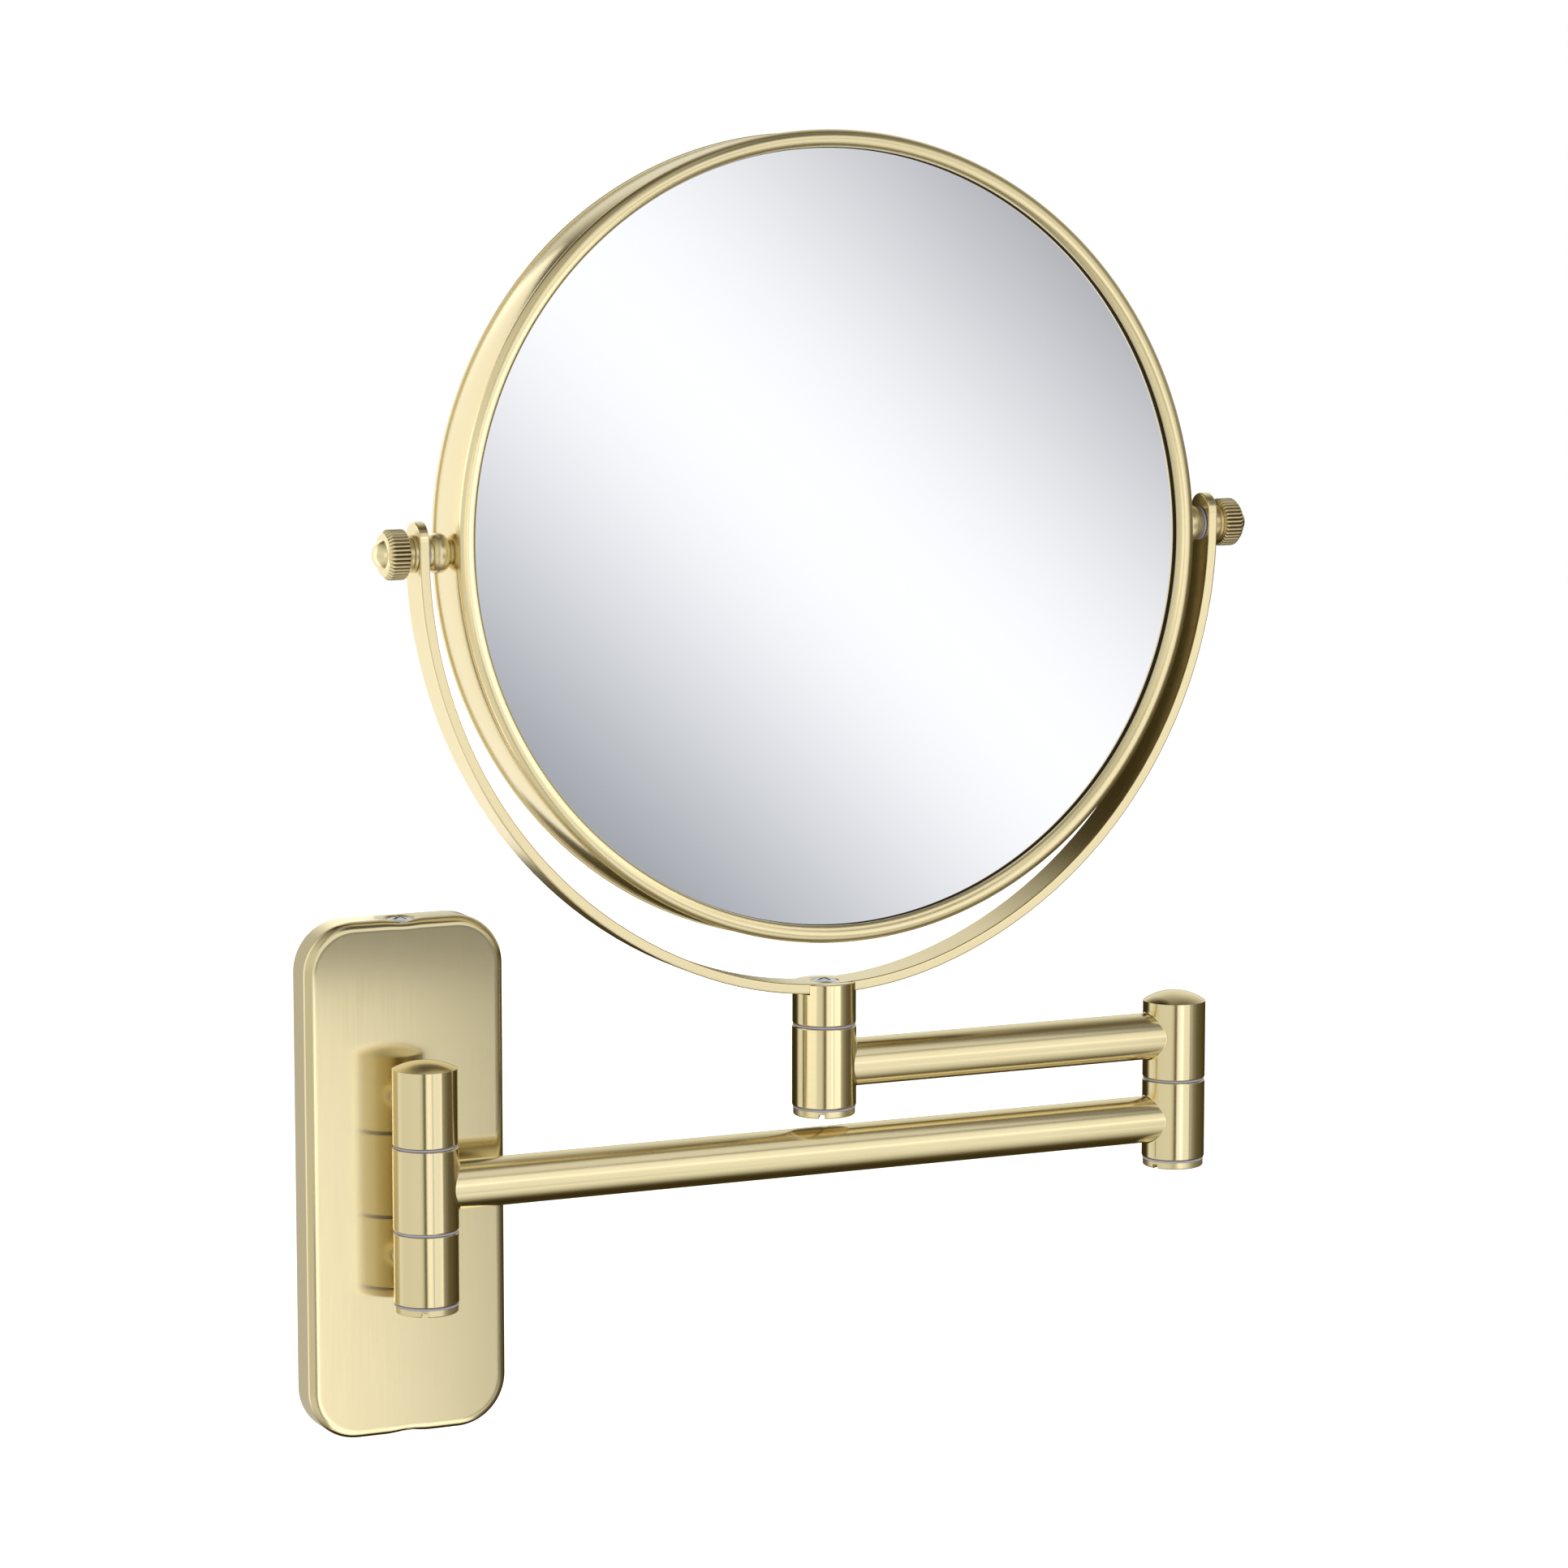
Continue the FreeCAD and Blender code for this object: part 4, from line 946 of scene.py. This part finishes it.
class MIRROR_OT_hidden_fixings(bpy.types.Operator):
    """Finishes the bracket, pins, screws, nuts and spacer that the outer pieces hide"""
    bl_idname = "makeup_mirror.hidden_fixings"
    bl_label = "Hidden fixings"

    def execute(self, context):
        finishes = context.scene.mirror_finishes
        # Zinc plating on steel: a dull grey in small soft patches
        zinc = plain_metal("zinc", finishes.zinc[:], 0.35, 0.5, 4.0 * MM)
        finish_nodes(zinc, "wall_bracket", "knuckle_screws", "wall_hinge_pin", "elbow_pin", "boss_nuts")
        # Black ABS, moulded: dull and even
        finish_nodes(moulded_plastic("black_abs", finishes.black_plastic[:]), "mirror_spacer")
        return {"FINISHED"}


# The pieces that some of the soft boxes light
PLATE = ("pressed_plate",)
FRONT_RIM = ("rolled_front_rim",)
RIMS = ("yoke", "rolled_front_rim", "rolled_back_rim")
MIRROR_POST = ("upper_arm_mirror_knuckle", "yoke_stem", "mirror_post_end_screw")
GOLD_PIECES = ("upper_wall_knuckle", "lower_wall_knuckle", "lower_arm_wall_knuckle", "lower_arm_elbow_knuckle",
               "upper_arm_elbow_knuckle", "upper_arm_mirror_knuckle", "yoke_stem", "lower_arm_tube", "upper_arm_tube",
               "turned_band", "lower_arm_welds", "upper_arm_welds", "wall_post_end_screw", "elbow_end_screw",
               "mirror_post_end_screw")
LEFT_PIECES = ("turned_band", "rolled_front_rim", "rolled_back_rim", "yoke", "left_turned_boss", "left_thumb_screw",
               "knob_spacer_rings")


def ring_card(turn):
    """One of the cards round a line before the glass, facing out, which the inner slope of the front rim mirrors."""
    axis, reach, size = Vector((108.6, -105.0, 156.5)), 46.0, (143, 29)
    outward = Vector((math.cos(math.radians(turn)), 0.0, math.sin(math.radians(turn))))
    middle = axis + reach * outward
    return "ring_card_%d" % turn, middle, middle + outward, size, 1.0, FRONT_RIM


# Soft boxes near the mirror: name, place, aim and size in millimetres, radiance, and the only pieces that see each
SOFT_WHITE = (0.985, 0.965, 0.885)
SOFTBOXES = (
    ("plate_softbox", (72, -600, -252), (0, 0, -30), (345, 400), 1.18, PLATE),
    ("plate_floor_card", (80, -250, -450), (80, -250, 0), (400, 400), 1.05, PLATE),
    ("plate_fill", (-350, -750, 100), (0, 0, 0), (200, 600), 0.45, PLATE),
    ("plate_side_card", (-155, 120, 40), (-155, 0, 40), (390, 500), 0.58, PLATE),
    ("front_softbox", (450, -1000, -200), (150, -20, 0), (640, 620), 0.66, GOLD_PIECES),
    ("high_softbox", (389, -587, 686), (100, -20, 50), (430, 430), 0.68, GOLD_PIECES + ("yoke",)),
    ("rim_softbox", (560, -1000, -60), (150, -20, 100), (800, 420), 0.68, RIMS),
    ("rim_fill", (-420, -900, 200), (100, -20, 156), (700, 500), 0.5, FRONT_RIM + ("left_thumb_screw",)),
    *(ring_card(turn) for turn in range(112, 312, 33)),
    ("back_card", (-155, 120, 40), (-155, 0, 40), (390, 500), 1.0, LEFT_PIECES),
    ("post_fill", (-480, -160, 20), (108, -21, 20), (560, 300), 0.4, MIRROR_POST),
    ("post_key", (490, -830, 0), (108, -21, 20), (360, 420), 0.35, MIRROR_POST),
)

# Light by compass direction in degrees (0 is straight out from the wall, positive towards the elbow), in a low, a
# middle and a high ring, as radiance at a light strength of RING_STRENGTH
RING_STRENGTH = 1.25
LOW_RING = ((-180, 0.06), (-165, 0.03), (-150, 0.04), (-139, 0.2), (-125, 0.85), (-100, 0.8), (-41, 0.85),
            (-31, 0.7), (-24, 0.2), (-19, 0.2), (-15, 1.1), (8, 1.1), (25, 1.05), (47, 0.55), (67, 0.14),
            (120, 0.05), (180, 0.06))
MIDDLE_RING = ((-180, 0.04), (-165, 0.03), (-150, 0.03), (-139, 0.12), (-127, 0.85), (-103, 0.72), (-41, 0.75),
               (-31, 0.62), (-24, 0.12), (-19, 0.12), (-15, 1.05), (-8, 1.12), (7, 1.05), (16, 0.95), (25, 0.8),
               (47, 0.26), (67, 0.13), (120, 0.05), (150, 0.015), (180, 0.04))
HIGH_RING = ((-180, 0.4), (-172, 0.03), (-145, 0.03), (-127, 0.8), (-100, 0.8), (-41, 0.8), (-31, 0.7), (-24, 0.2),
             (-19, 0.2), (-15, 1.05), (8, 1.05), (25, 1.05), (47, 0.6), (62, 0.3), (90, 0.25), (115, 0.5),
             (140, 0.85), (170, 0.8), (180, 0.4))
# Sine of the elevation at which one ring starts to give way to the next, and at which it has
LOW_TO_MIDDLE, MIDDLE_TO_HIGH = (-0.42, -0.22), (-0.06, 0.12)
# How the light falls off underfoot and overhead, by elevation in degrees
LIGHT_BY_HEIGHT = ((-90, 0.08), (-72, 0.36), (-53, 0.8), (-37, 0.97), (20, 1.0), (40, 0.85), (56, 0.56), (73, 0.33),
                   (90, 0.12))
# Colour of the light by its level: the dimmer, the browner
LIGHT_TONES = ((0.0, (0.012, 0.007, 0.002)), (0.06, (0.06, 0.045, 0.015)), (0.104, (0.104, 0.087, 0.05)),
               (0.58, (0.58, 0.57, 0.49)), (0.8, (0.79, 0.775, 0.71)), (1.0, SOFT_WHITE))
# Two grey flags in front, a low one where the wall plate looks and a high one that the plate throws onto the dome of
# the wall post: compass direction, rise, cosine of the angle to the soft edge and to the core, and level
FLAGS = ((20.5, -0.25, 0.95, 0.975, 0.22), (27.0, 1.0, 0.945, 0.975, 0.07))
# The graded card that only a true mirror shows, by slant across it, and its plain back by height
CARD_SHADES = ((-0.6, "E6E8EB"), (0.0, "C0C4C9"), (0.325, "82878C"), (0.489, "F2F2F2"), (0.66, "8C8D90"),
               (0.95, "C9CBCF"), (1.6, "EEEFF1"))
CARD_BACK = ((0.3, "D5D8DC"), (0.75, "F2F3F5"))

# Camera fitted to the outlines in the photograph
CAMERA_PLACE = Vector((-442.1, -1179.3, 266.1)) * MM
CAMERA_TURN, CAMERA_DIP = math.radians(-24.98), math.radians(7.64)
SENSOR_WIDTH = 36.0
# Half the floor's width, and the size of the faint patches in its paint, in metres
FLOOR_REACH, FLOOR_PATCH = 4.0, 1 / 3


class MIRROR_OT_stage(bpy.types.Operator):
    """Sets the floor, the studio light and the camera"""
    bl_idname = "makeup_mirror.stage"
    bl_label = "Studio"

    def set_camera(self, context):
        """Stands the camera at the photograph's viewing angle."""
        camera = bpy.data.objects.new("camera", bpy.data.cameras.new("camera"))
        context.scene.collection.objects.link(camera)
        back = Vector((math.sin(CAMERA_TURN) * math.cos(CAMERA_DIP), -math.cos(CAMERA_TURN) * math.cos(CAMERA_DIP),
                       math.sin(CAMERA_DIP)))
        camera.location = CAMERA_PLACE
        camera.rotation_mode = "QUATERNION"
        camera.rotation_quaternion = (-back).to_track_quat("-Z", "Y")
        camera.data.lens = context.scene.mirror_studio.lens
        camera.data.sensor_width = SENSOR_WIDTH
        context.scene.camera = camera

    def room_light(self, tree, way, axes, outward, height_share):
        """The light that everything but the glass mirrors: the three rings, their tones and the flags."""
        compass = node(tree, "ShaderNodeMath", {0: (axes, "X"), 1: (outward, "Value")}, operation="ARCTAN2")
        turn_share = node(tree, "ShaderNodeMapRange", {"Value": (compass, "Value"), "From Min": -math.pi,
                                                       "From Max": math.pi})
        low, middle, high = (node(tree, "ShaderNodeValToRGB", {"Fac": (turn_share, "Result")},
                                  stops=[((a + 180) / 360, (v / RING_STRENGTH,) * 3 + (1.0,)) for a, v in ring])
                             for ring in (LOW_RING, MIDDLE_RING, HIGH_RING))
        around = (low, "Color")
        for ring, (start, end) in ((middle, LOW_TO_MIDDLE), (high, MIDDLE_TO_HIGH)):
            above = node(tree, "ShaderNodeMapRange", {"Value": (axes, "Z"), "From Min": start, "From Max": end},
                         interpolation_type="SMOOTHSTEP")
            around = (node(tree, "ShaderNodeMix", {"Factor": (above, "Result"), "A": around, "B": (ring, "Color")},
                           data_type="RGBA"), "Result")
        upward = node(tree, "ShaderNodeValToRGB", {"Fac": (height_share, "Result")},
                      stops=[((math.sin(math.radians(e)) + 1) / 2, (v,) * 3 + (1.0,)) for e, v in LIGHT_BY_HEIGHT])
        level = node(tree, "ShaderNodeMath", {0: around, 1: (upward, "Color")}, operation="MULTIPLY")
        tone = (node(tree, "ShaderNodeValToRGB", {"Fac": (level, "Value")},
                     stops=[(place, colour + (1.0,)) for place, colour in LIGHT_TONES]), "Color")
        for turn, rise, edge, core, grey in FLAGS:
            flag_way = Vector((math.sin(math.radians(turn)), -math.cos(math.radians(turn)), rise)).normalized()
            toward_flag = node(tree, "ShaderNodeVectorMath", {0: (way, "Generated"), 1: flag_way},
                               operation="DOT_PRODUCT")
            on_flag = node(tree, "ShaderNodeMapRange", {"Value": (toward_flag, "Value"), "From Min": edge,
                                                        "From Max": core}, interpolation_type="SMOOTHSTEP")
            tone = (node(tree, "ShaderNodeMix", {"Factor": (on_flag, "Result"), "A": tone,
                                                 "B": (grey, grey, grey * 0.95, 1.0)}, data_type="RGBA"), "Result")
        return tone

    def glass_card(self, tree, axes, outward, height_share):
        """The card in the glass: white across the middle, grey on both sides of it and pale again far out; behind the
        mirror it is plain and pale."""
        first, last = CARD_SHADES[0][0], CARD_SHADES[-1][0]
        rise = node(tree, "ShaderNodeMath", {0: (axes, "X"), 1: (axes, "Z")}, operation="ADD")
        ahead = node(tree, "ShaderNodeMath", {0: (outward, "Value"), 1: 0.2}, operation="MAXIMUM")
        slant = node(tree, "ShaderNodeMath", {0: (rise, "Value"), 1: (ahead, "Value")}, operation="DIVIDE")
        across = node(tree, "ShaderNodeMapRange", {"Value": (slant, "Value"), "From Min": first, "From Max": last})
        card = node(tree, "ShaderNodeValToRGB", {"Fac": (across, "Result")},
                    stops=[((place - first) / (last - first), linear(shade)) for place, shade in CARD_SHADES])
        card.color_ramp.interpolation = "EASE"
        before = node(tree, "ShaderNodeMapRange", {"Value": (outward, "Value"), "From Min": 0.15, "From Max": 0.4},
                      interpolation_type="SMOOTHSTEP")
        behind = node(tree, "ShaderNodeValToRGB", {"Fac": (height_share, "Result")},
                      stops=[(place, linear(shade)) for place, shade in CARD_BACK])
        return node(tree, "ShaderNodeMix", {"Factor": (before, "Result"), "A": (behind, "Color"),
                                            "B": (card, "Color")}, data_type="RGBA"), "Result"

    def set_world(self, context):
        """Surrounds the part with the studio's light; the camera itself sees plain white there."""
        world = bpy.data.worlds.new("studio_light")
        context.scene.world = world
        world.use_nodes = True
        tree = world.node_tree
        tree.nodes.clear()
        way = node(tree, "ShaderNodeTexCoord")
        axes = node(tree, "ShaderNodeSeparateXYZ", {"Vector": (way, "Generated")})
        outward = node(tree, "ShaderNodeMath", {0: (axes, "Y"), 1: -1.0}, operation="MULTIPLY")
        height_share = node(tree, "ShaderNodeMapRange", {"Value": (axes, "Z"), "From Min": -1.0, "From Max": 1.0})
        tone = self.room_light(tree, way, axes, outward, height_share)
        card = self.glass_card(tree, axes, outward, height_share)
        path = node(tree, "ShaderNodeLightPath")
        straight = node(tree, "ShaderNodeMath", {0: (path, "Ray Depth"), 1: 2.5}, operation="LESS_THAN")
        in_glass = node(tree, "ShaderNodeMath", {0: (path, "Is Singular Ray"), 1: (straight, "Value")},
                        operation="MULTIPLY")
        scene_light = node(tree, "ShaderNodeMix", {"Factor": (in_glass, "Value"), "A": tone, "B": card},
                           data_type="RGBA")
        glow = node(tree, "ShaderNodeBackground", {"Color": (scene_light, "Result"),
                                                   "Strength": context.scene.mirror_studio.strength})
        clear = node(tree, "ShaderNodeBackground", {"Color": (1.0, 1.0, 1.0, 1.0), "Strength": 1.0})
        shown = node(tree, "ShaderNodeMixShader", {0: (path, "Is Camera Ray"), 1: (glow, "Background"),
                                                   2: (clear, "Background")})
        node(tree, "ShaderNodeOutputWorld", {"Surface": (shown, "Shader")})

    def softbox(self, context, name, centre, towards, size, radiance, receivers):
        """A rectangular soft light, in millimetres, that only the receivers see."""
        lamp = bpy.data.lights.new(name, "AREA")
        lamp.shape = "RECTANGLE"
        lamp.size, lamp.size_y = (side * MM for side in size)
        lamp.energy = radiance * math.pi * lamp.size * lamp.size_y
        lamp.color = SOFT_WHITE
        box = bpy.data.objects.new(name, lamp)
        box.location = Vector(centre) * MM
        box.rotation_mode = "QUATERNION"
        box.rotation_quaternion = (Vector(towards) - Vector(centre)).to_track_quat("-Z", "Y")
        box.visible_camera = False
        context.scene.collection.objects.link(box)
        lit = bpy.data.collections.new(name + "_receivers")
        for piece in receivers:
            lit.objects.link(context.scene.objects[piece])
        box.light_linking.receiver_collection = lit

    def lay_floor(self, context):
        """A pale painted floor well below the mirror, which hangs on a wall."""
        studio = context.scene.mirror_studio
        mesh = bpy.data.meshes.new("floor")
        builder = bmesh.new()
        bmesh.ops.create_grid(builder, x_segments=1, y_segments=1, size=FLOOR_REACH,
                              matrix=Matrix.Translation((0.0, 0.0, studio.floor_level)))
        builder.to_mesh(mesh)
        builder.free()
        floor = bpy.data.objects.new("floor", mesh)
        context.scene.collection.objects.link(floor)
        floor.visible_glossy = False
        paint = mottled("pale_floor_paint", studio.floor, 0.97, FLOOR_PATCH, 2.0,
                        lambda tree, cloud: {"Roughness": 0.9, "Emission Color": studio.floor,
                                             "Emission Strength": 1.1})
        mesh.materials.append(paint)

    def execute(self, context):
        context.scene.view_settings.view_transform = "Standard"
        self.set_camera(context)
        self.set_world(context)
        for details in SOFTBOXES:
            self.softbox(context, *details)
        self.lay_floor(context)
        return {"FINISHED"}


class MIRROR_PT_build(bpy.types.Panel):
    """The steps that dress the mirror, in order"""
    bl_label = "Makeup mirror"
    bl_idname = "MIRROR_PT_build"
    bl_space_type = "VIEW_3D"
    bl_region_type = "UI"
    bl_category = "Makeup mirror"

    def draw(self, context):
        for step in STEPS:
            self.layout.operator(step.bl_idname)


STEPS = (MIRROR_OT_wall_plate, MIRROR_OT_posts, MIRROR_OT_arms, MIRROR_OT_welds, MIRROR_OT_yoke, MIRROR_OT_rims,
         MIRROR_OT_bosses, MIRROR_OT_knobs, MIRROR_OT_screws, MIRROR_OT_washers, MIRROR_OT_glasses,
         MIRROR_OT_hidden_fixings, MIRROR_OT_stage)
SETTINGS = {"mirror_finishes": MIRROR_PG_finishes, "mirror_plate": MIRROR_PG_plate, "mirror_arms": MIRROR_PG_arms,
            "mirror_knobs": MIRROR_PG_knobs, "mirror_head": MIRROR_PG_head, "mirror_fixings": MIRROR_PG_fixings,
            "mirror_studio": MIRROR_PG_studio}


def register():
    for kind in (*SETTINGS.values(), *STEPS, MIRROR_PT_build):
        bpy.utils.register_class(kind)
    for name, kind in SETTINGS.items():
        setattr(bpy.types.Scene, name, bpy.props.PointerProperty(type=kind))


def unregister():
    for name in SETTINGS:
        delattr(bpy.types.Scene, name)
    for kind in (MIRROR_PT_build, *reversed(STEPS), *SETTINGS.values()):
        bpy.utils.unregister_class(kind)


def main():
    register()
    for step in STEPS:
        group, name = step.bl_idname.split(".")
        getattr(getattr(bpy.ops, group), name)()


if __name__ == "__main__":
    main()
